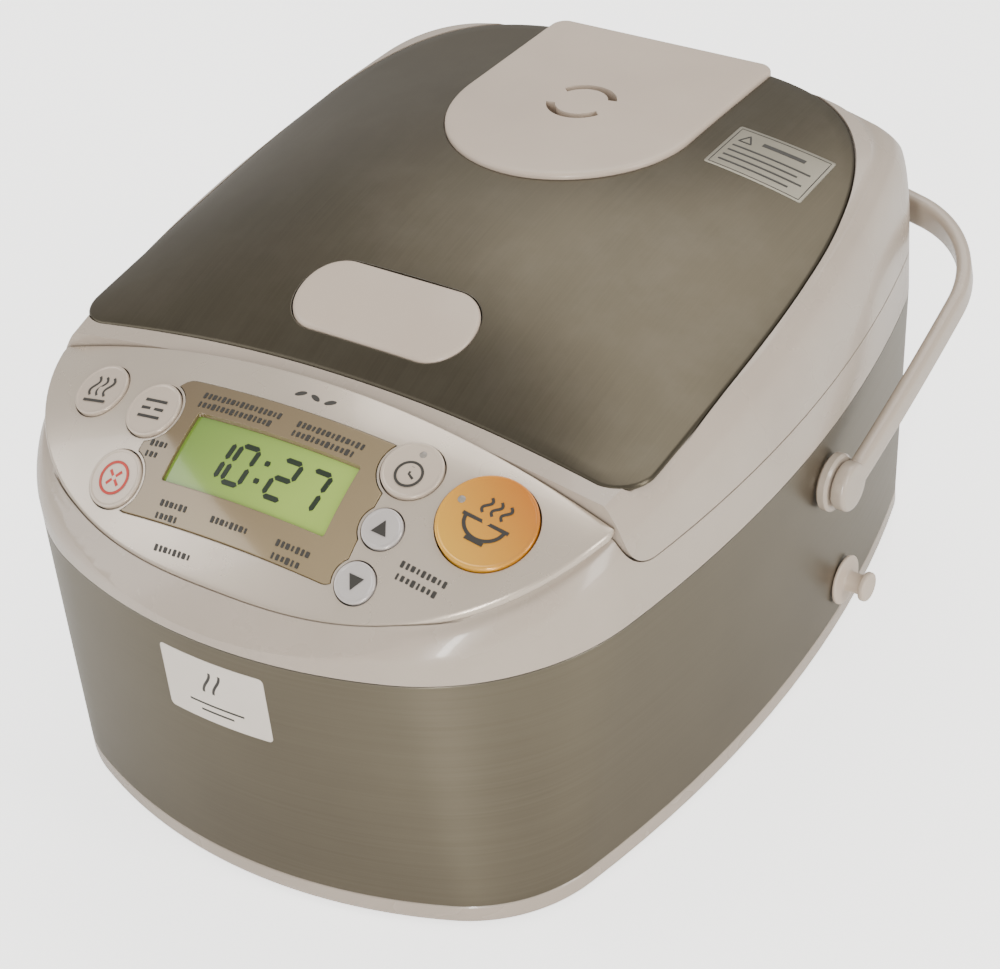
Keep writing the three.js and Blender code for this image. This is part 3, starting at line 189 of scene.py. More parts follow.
@dataclass(frozen=True)
class BodyPlan:
    """Closed plan of the body made of tangent arcs, the same on both sides of X = 0."""

    half_width: float
    front: float
    rear: float
    front_corner: float
    rear_corner: float
    widest_y: float = -7.4
    side_radius: float = 433
    front_radius: float = 171
    rear_radius: float = 282

    def outline(self, inset: float = 0) -> list[Point2]:
        """Points of the plan, moved inwards by an inset.

        Args:
            inset: How far inside the plan the outline runs.

        Returns:
            The points, anticlockwise from the middle of the front.
        """
        side_r, front_r, rear_r = (r - inset for r in (self.side_radius, self.front_radius, self.rear_radius))
        near_r, far_r = max(self.front_corner - inset, 2), max(self.rear_corner - inset, 2)
        side = (self.half_width - self.side_radius, self.widest_y)
        ahead = (0.0, self.front_radius - self.front)
        behind = (0.0, self.rear - self.rear_radius)
        near = meet(side, side_r - near_r, ahead, front_r - near_r, lambda p: p[0] - p[1])
        far = meet(side, side_r - far_r, behind, rear_r - far_r, lambda p: p[0] + p[1])
        half = [
            *arc(ahead, front_r, -math.pi / 2, angle_to(ahead, near), 14),
            *arc(near, near_r, angle_to(ahead, near), angle_to(side, near), 26),
            *arc(side, side_r, angle_to(side, near), angle_to(side, far), 18),
            *arc(far, far_r, angle_to(side, far), angle_to(behind, far), 22),
            *arc(behind, rear_r, angle_to(behind, far), math.pi / 2, 14),
        ]
        return [*half, (0.0, self.rear - inset), *[(-x, y) for x, y in reversed(half[1:])]]


@dataclass(frozen=True)
class Shape:
    """Driving sizes shared by neighbouring pieces, in millimetres."""

    base_rim: float = 9.1
    body_height: float = 94.9
    deck_height: float = 111.2
    lid_bottom: float = 111.5
    steel: float = 1.0
    plastic: float = 3.0
    gap: float = 0.3
    seam: float = 0.6
    spigot: float = 6.5
    plate_half_width: float = 103.7
    plate_front: float = 70.7
    plate_rear: float = 113.5
    plate_corner: float = 12
    plate_power: float = 4.2
    front_bow: float = 5.8
    plate_sheet: float = 1.2
    rim_width: float = 5.5
    lid_rear: float = 135
    dome_y: float = 20
    lid_top: float = 162.5
    edge_drop: float = 20.8
    edge_rise: float = 0.115
    panel_half_width: float = 104
    panel_front: float = 139
    panel_side_y: float = -58.3
    panel_power: float = 2.44
    panel_sheet: float = 2
    pan_y: float = 20
    hinge_y: float = 126
    hinge_z: float = 122
    barrel: float = 9
    vent_y: float = 64
    handle_clearance: float = 1.6
    top_plan: BodyPlan = BodyPlan(111.4, 148.3, 139.7, 71, 42)
    base_plan: BodyPlan = BodyPlan(105.9, 148.0, 134.8, 48, 25)

    def body_plan(self, z: float, inset: float = 0) -> list[Point2]:
        """Plan of the tapering body at one height.

        Args:
            z: The height.
            inset: How far the plan is moved inwards.

        Returns:
            The closed outline.
        """
        share = clamp((z - self.base_rim) / (self.body_height - self.base_rim), 0, 1)
        low, high = self.base_plan, self.top_plan
        return BodyPlan(
            mix(low.half_width, high.half_width, share),
            mix(low.front, high.front, share),
            mix(low.rear, high.rear, share),
            mix(low.front_corner, high.front_corner, share),
            mix(low.rear_corner, high.rear_corner, share),
        ).outline(inset)

    def lid(self, x: float, y: float) -> float:
        """Height of the lid's domed top."""
        t = (y - self.dome_y) / (self.plate_front + self.dome_y)
        middle = self.lid_top + 6.5 * t - 11.7 * t**2 + 4.2 * t**3
        edge = self.lid_top - self.edge_drop + self.edge_rise * y
        return middle - (middle - edge) * abs(x / self.plate_half_width) ** 2.4

    def panel(self, x: float, y: float) -> float:
        """Height of the control panel's curved top."""
        back = y + 105
        return 132.4 + 0.5 * back - 0.0067 * back**2 - 0.0013 * x**2

    def front_edge(self, x: float, ahead: float = 0) -> float:
        """Y of the lid's front edge; ahead is how far in front of the plate it lies."""
        return -self.plate_front - ahead - self.front_bow * (x / self.plate_half_width) ** 2

    def plate_plan(self, margin: float = 0) -> list[Point2]:
        """Plan of the stainless plate.

        Args:
            margin: How much larger than the plate it is all round.

        Returns:
            The closed outline.
        """
        half = self.plate_half_width + margin
        corner = self.plate_corner + margin
        start = self.front_edge(half)
        length = self.plate_rear + margin - start
        power = 2 / self.plate_power
        corner_y = self.front_edge(half - corner, margin) + corner
        first = math.asin(max((corner_y + 2 - start) / length, 0.01) ** (1 / power))
        right: list[Point2] = [
            (x, self.front_edge(x, margin)) for x in [(half - corner) * i / 16 for i in range(16)]
        ]
        right += arc((half - corner, corner_y), corner, -math.pi / 2, 0, 12)
        for i in range(60):
            t = mix(first, math.pi / 2, i / 60)
            right.append((half * math.cos(t) ** power, start + length * math.sin(t) ** power))
        return [*right, (0.0, self.plate_rear + margin), *[(-x, y) for x, y in reversed(right[1:])]]

    def panel_plan(self, inset: float = 0) -> list[Point2]:
        """Plan of the control panel's cover.

        Args:
            inset: How far the plan is moved inwards.

        Returns:
            The closed outline.
        """
        half = self.panel_half_width - inset
        length = self.panel_side_y + self.panel_front - inset
        power = 2 / self.panel_power
        front: list[Point2] = []
        for i in range(97):
            t = math.pi * i / 96
            x = -math.copysign(half * abs(math.cos(t)) ** power, math.cos(t))
            front.append((x, self.panel_side_y - length * math.sin(t) ** power))
        ahead = self.rim_width + self.seam + inset
        inside = [p for p in front if p[1] < self.front_edge(p[0], ahead) - 0.6]
        start, end = inside[-1][0], inside[0][0]
        return inside + [(x, self.front_edge(x, ahead)) for x in [mix(start, end, i / 30) for i in range(31)]]


def rounded_rectangle(
        x: float, y: float, width: float, depth: float, corner: float, steps: int = 9) -> list[Point2]:
    """Points of a rounded rectangle about a middle point, anticlockwise.

    Args:
        x: X of the middle.
        y: Y of the middle.
        width: Size along X.
        depth: Size along Y.
        corner: Corner radius.
        steps: Points on each corner.

    Returns:
        The outline.
    """
    points: list[Point2] = []
    for sx, sy, turn in ((1, -1, -90), (1, 1, 0), (-1, 1, 90), (-1, -1, 180)):
        centre = (x + sx * (width / 2 - corner), y + sy * (depth / 2 - corner))
        first = math.radians(turn)
        points += arc(centre, corner, first, first + math.pi / 2, steps)
        last = first + math.pi / 2
        points.append((centre[0] + corner * math.cos(last), centre[1] + corner * math.sin(last)))
    return points


def cap_plan(margin: float = 0) -> list[Point2]:
    """Plan of the tongue-shaped steam cap.

    Args:
        margin: How much larger than the cap it is all round.

    Returns:
        The closed outline.
    """
    half, rear, corner, middle = 42.5 + margin, 116 + margin, 5 + margin, 60.5
    return [
        *arc((0, middle), half, math.pi, 2 * math.pi, 48),
        (half, middle),
        *arc((half - corner, rear - corner), corner, 0, math.pi / 2, 8),
        (half - corner, rear),
        (corner - half, rear),
        *arc((corner - half, rear - corner), corner, math.pi / 2, math.pi, 8)[1:],
        (-half, rear - corner),
    ]


def open_button_plan(margin: float = 0) -> list[Point2]:
    """Plan of the lid's open button, grown by a margin."""
    return rounded_rectangle(0, -47, 64 + 2 * margin, 26 + 2 * margin, 12.5 + margin, 12)


# ---- Solids ---------------------------------------------------------------------------------


class Fuse(Enum):
    """How one solid is combined with another."""

    CUT = "DIFFERENCE"
    JOIN = "UNION"
    KEEP = "INTERSECT"


class Solid:
    """A closed body in millimetres that can be cut, joined and trimmed."""

    def __init__(self, points: Iterable[Point3], faces: Iterable[Sequence[int]]) -> None:
        """Makes the body, with its faces turned outwards.

        Args:
            points: Its corners.
            faces: Corner numbers of each face.
        """
        self.mesh = bpy.data.meshes.new("solid")
        self.mesh.from_pydata([tuple(p) for p in points], [], [tuple(f) for f in faces])
        form = bmesh.new()
        form.from_mesh(self.mesh)
        bmesh.ops.remove_doubles(form, verts=form.verts, dist=1e-5)
        bmesh.ops.recalc_face_normals(form, faces=form.faces)
        form.to_mesh(self.mesh)
        form.free()

    def _combined(self, others: Iterable["Solid"], fuse: Fuse) -> "Solid":
        """Combines this body with each of the others in turn.

        Args:
            others: The bodies to cut, join or keep.
            fuse: How they are combined.

        Returns:
            The combined body.
        """
        scene = bpy.context.scene.collection
        base = bpy.data.objects.new("base", self.mesh.copy())
        scene.objects.link(base)
        tools = []
        for other in others:
            tool = bpy.data.objects.new("tool", other.mesh)
            scene.objects.link(tool)
            modifier = base.modifiers.new("fuse", "BOOLEAN")
            modifier.operation, modifier.solver, modifier.object = fuse.value, "MANIFOLD", tool
            tools.append(tool)
        shape = base.evaluated_get(bpy.context.evaluated_depsgraph_get())
        result = Solid.__new__(Solid)
        result.mesh = bpy.data.meshes.new_from_object(shape)
        for each in [base, *tools]:
            bpy.data.objects.remove(each)
        return result

    def cut(self, *others: "Solid") -> "Solid":
        """Returns this body with the others taken out of it."""
        return self._combined(others, Fuse.CUT)

    def join(self, *others: "Solid") -> "Solid":
        """Returns this body with the others added to it."""
        return self._combined(others, Fuse.JOIN)

    def inside(self, *others: "Solid") -> "Solid":
        """Returns the part of this body that lies inside all the others."""
        return self._combined(others, Fuse.KEEP)

    def at(self, place: Matrix) -> "Solid":
        """Returns a copy of this body moved by a matrix."""
        result = Solid.__new__(Solid)
        result.mesh = self.mesh.copy()
        result.mesh.transform(place)
        return result

    def moved(self, x: float, y: float, z: float) -> "Solid":
        """Returns a copy of this body moved along the axes."""
        return self.at(Matrix.Translation((x, y, z)))

    def along_x(self, side: int = 1) -> "Solid":
        """Returns a copy that lies along the X axis, towards +X or -X."""
        return self.at(Matrix.Rotation(side * math.pi / 2, 4, "Y"))


def ring(points: Iterable[Point2], z: float | Height) -> list[Point3]:
    """Returns the plan points at a height, which may depend on the place."""
    return [(x, y, z(x, y) if callable(z) else z) for x, y in points]


def loft(rings: Sequence[Sequence[Point3]], looped: bool = False) -> Solid:
    """Closed body through a stack of rings.

    Args:
        rings: Rings with the same number of points.
        looped: Whether the stack runs back to its first ring; if not, its ends are closed.

    Returns:
        The body.
    """
    count = len(rings[0])
    points: list[Point3] = [p for each in rings for p in each]
    faces: list[tuple[int, ...]] = []
    for s in range(len(rings) if looped else len(rings) - 1):
        low, high = s * count, (s + 1) % len(rings) * count
        faces += [(low + i, low + (i + 1) % count, high + (i + 1) % count, high + i) for i in range(count)]
    if not looped:
        for s in (0, len(rings) - 1):
            middle = len(points)
            points.append(tuple(sum(p[k] for p in rings[s]) / count for k in range(3)))
            faces += [(s * count + i, s * count + (i + 1) % count, middle) for i in range(count)]
    return Solid(points, faces)


def sheet(top: Height, bottom: Height, xs: Point2, ys: Point2, columns: int, rows: int) -> Solid:
    """Closed body between two height functions over a rectangle.

    Args:
        top: Height of the upper face.
        bottom: Height of the lower face.
        xs: First and last X.
        ys: First and last Y.
        columns: Cells along X.
        rows: Cells along Y.

    Returns:
        The body.
    """
    grid = [(mix(*xs, c / columns), mix(*ys, r / rows)) for r in range(rows + 1) for c in range(columns + 1)]
    points = [(x, y, top(x, y)) for x, y in grid] + [(x, y, bottom(x, y)) for x, y in grid]
    wide, under = columns + 1, len(grid)
    faces: list[tuple[int, ...]] = []
    for r in range(rows):
        for c in range(columns):
            a = r * wide + c
            faces.append((a, a + 1, a + wide + 1, a + wide))
            faces.append((under + a, under + a + wide, under + a + wide + 1, under + a + 1))
    edge = [*range(columns), *[r * wide + columns for r in range(rows)]]
    edge += [rows * wide + c for c in range(columns, 0, -1)] + [r * wide for r in range(rows, 0, -1)]
    faces += [(a, b, under + b, under + a) for a, b in zip(edge, edge[1:] + edge[:1])]
    return Solid(points, faces)


def prism(points: Sequence[Point2], z0: float, z1: float) -> Solid:
    """Upright prism over plan points, between two heights."""
    count = len(points)
    sides = [(i, (i + 1) % count, count + (i + 1) % count, count + i) for i in range(count)]
    caps = [tuple(range(count)), tuple(range(count, 2 * count))]
    return Solid([*ring(points, z0), *ring(points, z1)], [*sides, *caps])


def cross_prism(points: Sequence[Point2], x0: float, x1: float) -> Solid:
    """Prism along X over points of (Y, Z), between two places."""
    turn = Matrix(((0, 0, 1, 0), (1, 0, 0, 0), (0, 1, 0, 0), (0, 0, 0, 1)))
    return prism(points, x0, x1).at(turn)


def box(x0: float, x1: float, y0: float, y1: float, z0: float, z1: float) -> Solid:
    """Block between two corners."""
    return prism([(x0, y0), (x1, y0), (x1, y1), (x0, y1)], z0, z1)


def turned(profile: Sequence[Point2], segments: int = 64) -> Solid:
    """Turned body about +Z.

    Args:
        profile: Points of (radius, z) from axis to axis, or a loop that closes on itself.
        segments: Facets round the axis.

    Returns:
        The body.
    """
    looped = profile[0] == profile[-1] and profile[0][0] > 0
    rows = list(profile[:-1] if looped else profile)
    points = [
        (r * math.cos(2 * math.pi * i / segments), r * math.sin(2 * math.pi * i / segments), z)
        for r, z in rows
        for i in range(segments)
    ]
    faces = []
    for s in range(len(rows) if looped else len(rows) - 1):
        low, high = s * segments, (s + 1) % len(rows) * segments
        steps = [(i, (i + 1) % segments) for i in range(segments)]
        faces += [(low + i, low + j, high + j, high + i) for i, j in steps]
    form = bmesh.new()
    corners = [form.verts.new(p) for p in points]
    for face in faces:
        form.faces.new([corners[i] for i in face])
    bmesh.ops.remove_doubles(form, verts=form.verts, dist=1e-5)
    bmesh.ops.dissolve_degenerate(form, dist=1e-6, edges=form.edges)
    form.verts.index_update()
    solid = Solid([tuple(v.co) for v in form.verts], [[v.index for v in f.verts] for f in form.faces])
    form.free()
    return solid


def rod(radius: float, z0: float, z1: float, segments: int = 64) -> Solid:
    """Plain rod between two heights."""
    return turned([(0, z0), (radius, z0), (radius, z1), (0, z1)], segments)


def tube(inner: float, outer: float, z0: float, z1: float, soft: float = 0, segments: int = 64) -> Solid:
    """Tube between two heights, its outer ends softened by a small radius."""
    edge = [
        (inner, z0), (outer - soft, z0), (outer, z0 + soft), (outer, z1 - soft), (outer - soft, z1), (inner, z1),
    ]
    return turned([*(edge if soft else [edge[0], (outer, z0), (outer, z1), edge[-1]]), (inner, z0)], segments)


def rounded_profile(profile: Sequence[Point2], radius: float, steps: int = 5) -> list[Point2]:
    """A profile of (radius, z) with its inner corners rounded.

    Args:
        profile: Corner points; the first and last stay sharp.
        radius: Rounding radius, made smaller where the sides are short.
        steps: Points on each rounded corner.

    Returns:
        The longer profile.
    """
    result: list[Point2] = [profile[0]]
    for before, corner, after in zip(profile, profile[1:], profile[2:]):
        a, b, c = Vector(before), Vector(corner), Vector(after)
        reach = min(radius, (a - b).length * 0.45, (c - b).length * 0.45)
        start, end = b + (a - b).normalized() * reach, b + (c - b).normalized() * reach
        for k in range(steps + 1):
            t = k / steps
            result.append(tuple(start * (1 - t) ** 2 + b * (2 * t * (1 - t)) + end * t**2))
    return result + [profile[-1]]


def shrink(points: Sequence[Point2], distance: float) -> list[Point2]:
    """Moves an outline inwards along its own normals.

    Args:
        points: The outline, anticlockwise.
        distance: How far it moves.

    Returns:
        The moved outline.
    """
    result: list[Point2] = []
    for i, (x, y) in enumerate(points):
        (ax, ay), (bx, by) = points[i - 1], points[(i + 1) % len(points)]
        length = math.hypot(bx - ax, by - ay) or 1
        result.append((x - distance * (by - ay) / length, y + distance * (bx - ax) / length))
    return result


def finer(points: Sequence[Point2], step: float) -> list[Point2]:
    """Returns a closed outline with points added so that none are further apart than a step."""
    result: list[Point2] = []
    for a, b in zip(points, [*points[1:], points[0]]):
        count = max(1, math.ceil(math.hypot(b[0] - a[0], b[1] - a[1]) / step))
        result += [(mix(a[0], b[0], k / count), mix(a[1], b[1], k / count)) for k in range(count)]
    return result


def pillow(plan: Sequence[Point2], top: Height, depth: float, soft: float, crown: float = 0) -> Solid:
    """Closed body with a soft upper edge that follows a surface.

    Args:
        plan: Outline, anticlockwise.
        top: Height of the upper face.
        depth: How far the body reaches below that face.
        soft: Radius of the upper edge.
        crown: How much the middle stands above the surface.

    Returns:
        The body.
    """
    rings = [[(x, y, top(x, y) - depth) for x, y in plan]]
    for k in range(6):
        turn = math.pi / 2 * k / 5
        inner = shrink(plan, soft * (1 - math.cos(turn)))
        rings.append([(x, y, top(x, y) - soft * (1 - math.sin(turn))) for x, y in inner])
    edge = shrink(plan, soft)
    middle = (sum(p[0] for p in edge) / len(edge), sum(p[1] for p in edge) / len(edge))
    for k in range(1, 24):
        share = 1 - k / 24
        drawn = [(mix(middle[0], x, share), mix(middle[1], y, share)) for x, y in edge]
        rings.append([(x, y, top(x, y) + crown * (1 - share**2)) for x, y in drawn])
    body = loft(rings)
    return body


def stroke(path: Sequence[Point2], width: float, closed: bool = False, thick: float = 0.05) -> Solid:
    """Thin flat line of ink along a path.

    Args:
        path: Points of its middle.
        width: Width of the line.
        closed: Whether it runs back to its first point.
        thick: Its thickness above the path's plane; it reaches as far again below.

    Returns:
        The line as a closed body round Z = 0.
    """
    rings = []
    count = len(path)
    for i, (x, y) in enumerate(path):
        ax, ay = path[i - 1] if closed or i else path[0]
        bx, by = path[(i + 1) % count] if closed or i < count - 1 else path[-1]
        length = math.hypot(bx - ax, by - ay) or 1
        nx, ny = -(by - ay) / length * width / 2, (bx - ax) / length * width / 2
        left, right = (x + nx, y + ny), (x - nx, y - ny)
        rings.append([(*left, -thick), (*right, -thick), (*right, thick), (*left, thick)])
    return loft(rings, closed)


def on_surface(surface: Height, x: float, y: float, lift: float = 0, turn: float = 0) -> Matrix:
    """Place on a surface, with +Z along its normal and +X level.

    Args:
        surface: Height of the surface.
        x: X of the place.
        y: Y of the place.
        lift: Distance above the surface.
        turn: Turn about the normal, in radians.

    Returns:
        The matrix from the place's own axes.
    """
    step = 0.5
    slope_x = (surface(x + step, y) - surface(x - step, y)) / (2 * step)
    slope_y = (surface(x, y + step) - surface(x, y - step)) / (2 * step)
    normal = Vector((-slope_x, -slope_y, 1)).normalized()
    level = (Vector((1, 0, slope_x)) - normal * Vector((1, 0, slope_x)).dot(normal)).normalized()
    up = normal.cross(level)
    frame = Matrix((level, up, normal)).transposed().to_4x4()
    frame.translation = Vector((x, y, surface(x, y))) + normal * lift
    return frame @ Matrix.Rotation(turn, 4, "Z")


# ---- Geometry Nodes that place what repeats ----------------------------------------------------


@dataclass(frozen=True)
class Copy:
    """One copy of a repeated part: its place and its size along its own axes."""

    place: Matrix
    stretch: Point3 = (1.0, 1.0, 1.0)


class Repeater:
    """Sets copies of one small part at given places with a Geometry Nodes tree."""

    def __init__(self) -> None:
        """Builds the tree once."""
        self.tree = bpy.data.node_groups.new("Place copies", "GeometryNodeTree")
        face = self.tree.interface
        face.new_socket("Places", in_out="INPUT", socket_type="NodeSocketGeometry")
        self.inputs = {
            name: face.new_socket(name, in_out="INPUT", socket_type=kind)
            for name, kind in (
                ("Part", "NodeSocketObject"), ("Size", "NodeSocketFloat"), ("Finish", "NodeSocketMaterial"),
            )
        }
        self.inputs["Size"].default_value = 1.0
        face.new_socket("Copies", in_out="OUTPUT", socket_type="NodeSocketGeometry")
        nodes, links = self.tree.nodes, self.tree.links
        entry, leave = nodes.new("NodeGroupInput"), nodes.new("NodeGroupOutput")
        part = nodes.new("GeometryNodeObjectInfo")
        instance = nodes.new("GeometryNodeInstanceOnPoints")
        realise, paint = nodes.new("GeometryNodeRealizeInstances"), nodes.new("GeometryNodeSetMaterial")
        size = nodes.new("ShaderNodeVectorMath")
        size.operation = "SCALE"
        fields = {}
        for label in ("turn", "stretch"):
            fields[label] = nodes.new("GeometryNodeInputNamedAttribute")
            fields[label].data_type = "FLOAT_VECTOR"
            fields[label].inputs["Name"].default_value = label
        links.new(entry.outputs["Places"], instance.inputs["Points"])
        links.new(entry.outputs["Part"], part.inputs["Object"])
        links.new(part.outputs["Geometry"], instance.inputs["Instance"])
        links.new(fields["turn"].outputs["Attribute"], instance.inputs["Rotation"])
        links.new(fields["stretch"].outputs["Attribute"], size.inputs[0])
        links.new(entry.outputs["Size"], size.inputs["Scale"])
        links.new(size.outputs["Vector"], instance.inputs["Scale"])
        links.new(instance.outputs["Instances"], realise.inputs["Geometry"])
        links.new(realise.outputs["Geometry"], paint.inputs["Geometry"])
        links.new(entry.outputs["Finish"], paint.inputs["Material"])
        links.new(paint.outputs["Geometry"], leave.inputs["Copies"])

    def place(self, part: Solid, copies: Sequence[Copy], finish: bpy.types.Material, size: float = 1.0) -> Solid:
        """Sets the copies and makes them one plain mesh.

        Args:
            part: The part, in its own axes.
            copies: Where each copy goes and how it is stretched.
            finish: Material set by the tree.
            size: Scale of every copy.

        Returns:
            The copies as one body.
        """
        mesh = bpy.data.meshes.new("places")
        mesh.from_pydata([tuple(c.place.translation) for c in copies], [], [])
        for label, values in (
            ("turn", [tuple(c.place.to_euler()) for c in copies]), ("stretch", [c.stretch for c in copies]),
        ):
            attribute = mesh.attributes.new(label, "FLOAT_VECTOR", "POINT")
            attribute.data.foreach_set("vector", [v for value in values for v in value])
        holder, source = bpy.data.objects.new("places", mesh), bpy.data.objects.new("part", part.mesh)
        for each in (holder, source):
            bpy.context.scene.collection.objects.link(each)
        modifier = holder.modifiers.new("copies", "NODES")
        modifier.node_group = self.tree
        modifier[self.inputs["Part"].identifier] = source
        modifier[self.inputs["Size"].identifier] = size
        modifier[self.inputs["Finish"].identifier] = finish
        result = Solid.__new__(Solid)
        result.mesh = bpy.data.meshes.new_from_object(holder.evaluated_get(bpy.context.evaluated_depsgraph_get()))
        for each in (holder, source):
            bpy.data.objects.remove(each)
        return result


# ---- Finishes -------------------------------------------------------------------------------


def tint(red: int, green: int, blue: int) -> tuple[float, float, float, float]:
    """Returns a display colour of 0 to 255 as the linear colour that shaders take."""
    parts = [v / 255 for v in (red, green, blue)]
    return (*[v / 12.92 if v <= 0.04045 else ((v + 0.055) / 1.055) ** 2.4 for v in parts], 1.0)


class Wiring:
    """Adds and links the nodes of one tree."""

    def __init__(self, tree: bpy.types.NodeTree) -> None:
        """Starts on a tree."""
        self.tree = tree

    def add(self, kind: str, inputs: Optional[dict] = None, **settings: object) -> bpy.types.Node:
        """Adds a node.

        Args:
            kind: Blender's name for the node.
            inputs: Socket name or number to a constant or to another node's output.
            settings: Values of the node's own properties.

        Returns:
            The node.
        """
        node = self.tree.nodes.new(kind)
        for key, value in settings.items():
            setattr(node, key, value)
        for key, value in (inputs or {}).items():
            if isinstance(value, bpy.types.NodeSocket):
                self.tree.links.new(value, node.inputs[key])
            else:
                node.inputs[key].default_value = value
        return node

    def blend(self, share: object, a: object, b: object, kind: str = "MIX") -> bpy.types.NodeSocket:
        """Returns the colour that a share mixes from a and b."""
        node = self.add("ShaderNodeMix", {0: share, 6: a, 7: b}, data_type="RGBA", blend_type=kind)
        return node.outputs[2]

    def remap(self, value: object, low: float, high: float, start: float, end: float) -> bpy.types.NodeSocket:
        """Returns a value moved from one range to another and held inside it."""
        return self.add("ShaderNodeMapRange", {0: value, 1: low, 2: high, 3: start, 4: end}).outputs[0]


Sockets = dict[str, bpy.types.NodeSocket]


def shader_group(
    name: str,
    takes: Sequence[tuple[str, str, object]],
    gives: Sequence[tuple[str, str]],
    build: Callable[[Wiring, Sockets], Sockets],
) -> bpy.types.NodeTree:
    """Makes a shared shader node group.

    Args:
        name: Name of the group.
        takes: Name, kind and default of each input.
        gives: Name and kind of each output.
        build: Adds the nodes and returns what feeds each output.

    Returns:
        The group.
    """
    tree = bpy.data.node_groups.new(name, "ShaderNodeTree")
    for label, kind, default in takes:
        socket = tree.interface.new_socket(label, in_out="INPUT", socket_type="NodeSocket" + kind)
        if default is not None:
            socket.default_value = default
    for label, kind in gives:
        tree.interface.new_socket(label, in_out="OUTPUT", socket_type="NodeSocket" + kind)
    wiring = Wiring(tree)
    entry, leave = wiring.add("NodeGroupInput"), wiring.add("NodeGroupOutput")
    for label, source in build(wiring, {s.name: s for s in entry.outputs if s.name}).items():
        tree.links.new(source, leave.inputs[label])
    return tree


def fine_grain(w: Wiring, takes: Sockets) -> Sockets:
    """Nodes of the moulded grain: a fine height and a broad change of tone."""
    fine = w.add("ShaderNodeTexNoise", {"Vector": takes["Vector"], "Scale": takes["Scale"], "Detail": 4.0})
    broad = w.add("ShaderNodeTexNoise", {"Vector": takes["Vector"], "Scale": 22.0, "Detail": 3.0})
    return {"Height": fine.outputs[0], "Tone": w.remap(broad.outputs[0], 0.3, 0.7, 0.0, 1.0)}


def brushed_lines(w: Wiring, takes: Sockets) -> Sockets:
    """Nodes of brushed lines: long thin scratches along one axis, in two sizes.

    Args:
        w: The group's tree.
        takes: The group's inputs by name.

    Returns:
        The group's outputs by name.
    """
    far = w.add("ShaderNodeVectorMath", {0: takes["Vector"], 1: takes["Stretch"]}, operation="MULTIPLY")
    fine = w.add("ShaderNodeTexNoise", {"Vector": far.outputs[0], "Scale": 1.0, "Detail": 5.0, "Roughness": 0.7})
    wide = w.add("ShaderNodeTexNoise", {"Vector": far.outputs[0], "Scale": 0.4, "Detail": 3.0})
    both = w.add("ShaderNodeMath", {0: fine.outputs[0], 1: wide.outputs[0]}, operation="MULTIPLY_ADD")
    both.inputs[2].default_value = 0.1
    return {"Height": fine.outputs[0], "Streak": w.remap(both.outputs[0], 0.2, 0.5, 0.0, 1.0)}


def soft_edges(w: Wiring, takes: Sockets) -> Sockets:
    """Nodes that round the edges slightly and find where they would be rubbed."""
    round_off = w.add("ShaderNodeBevel", {"Radius": takes["Radius"]}, samples=4)
    flat = w.add("ShaderNodeNewGeometry")
    same = w.add(
        "ShaderNodeVectorMath", {0: round_off.outputs[0], 1: flat.outputs["Normal"]}, operation="DOT_PRODUCT")
    return {"Normal": round_off.outputs[0], "Rubbed": w.remap(same.outputs["Value"], 0.98, 0.8, 0.0, 1.0)}


def settled_dust(w: Wiring, takes: Sockets) -> Sockets:
    """Nodes of light dust and finger marks on what faces up."""
    facing = w.add("ShaderNodeSeparateXYZ", {0: w.add("ShaderNodeNewGeometry").outputs["Normal"]})
    cloud = w.add(
        "ShaderNodeTexNoise", {"Vector": takes["Vector"], "Scale": 60.0, "Detail": 5.0, "Roughness": 0.65})
    up = w.remap(facing.outputs["Z"], 0.2, 1.0, 0.0, 1.0)
    patches = w.remap(cloud.outputs[0], 0.45, 0.75, 0.0, 1.0)
    mask = w.add("ShaderNodeMath", {0: up, 1: patches}, operation="MULTIPLY")
    amount = w.add("ShaderNodeMath", {0: mask.outputs[0], 1: takes["Amount"]}, operation="MULTIPLY")
    return {"Mask": amount.outputs[0]}


class Effects:
    """The shader groups that several finishes share."""

    def __init__(self) -> None:
        """Builds each group once."""
        vector = ("Vector", "Vector", None)
        self.grain = shader_group(
            "Moulded grain", [vector, ("Scale", "Float", 900.0)],
            [("Height", "Float"), ("Tone", "Float")], fine_grain)
        self.brushed = shader_group(
            "Brushed lines", [vector, ("Stretch", "Vector", (20.0, 20.0, 2000.0))],
            [("Height", "Float"), ("Streak", "Float")], brushed_lines)
        self.edges = shader_group(
            "Soft edges", [("Radius", "Float", 0.0004)], [("Normal", "Vector"), ("Rubbed", "Float")], soft_edges)
        self.dust = shader_group(
            "Settled dust", [vector, ("Amount", "Float", 0.3)], [("Mask", "Float")], settled_dust)


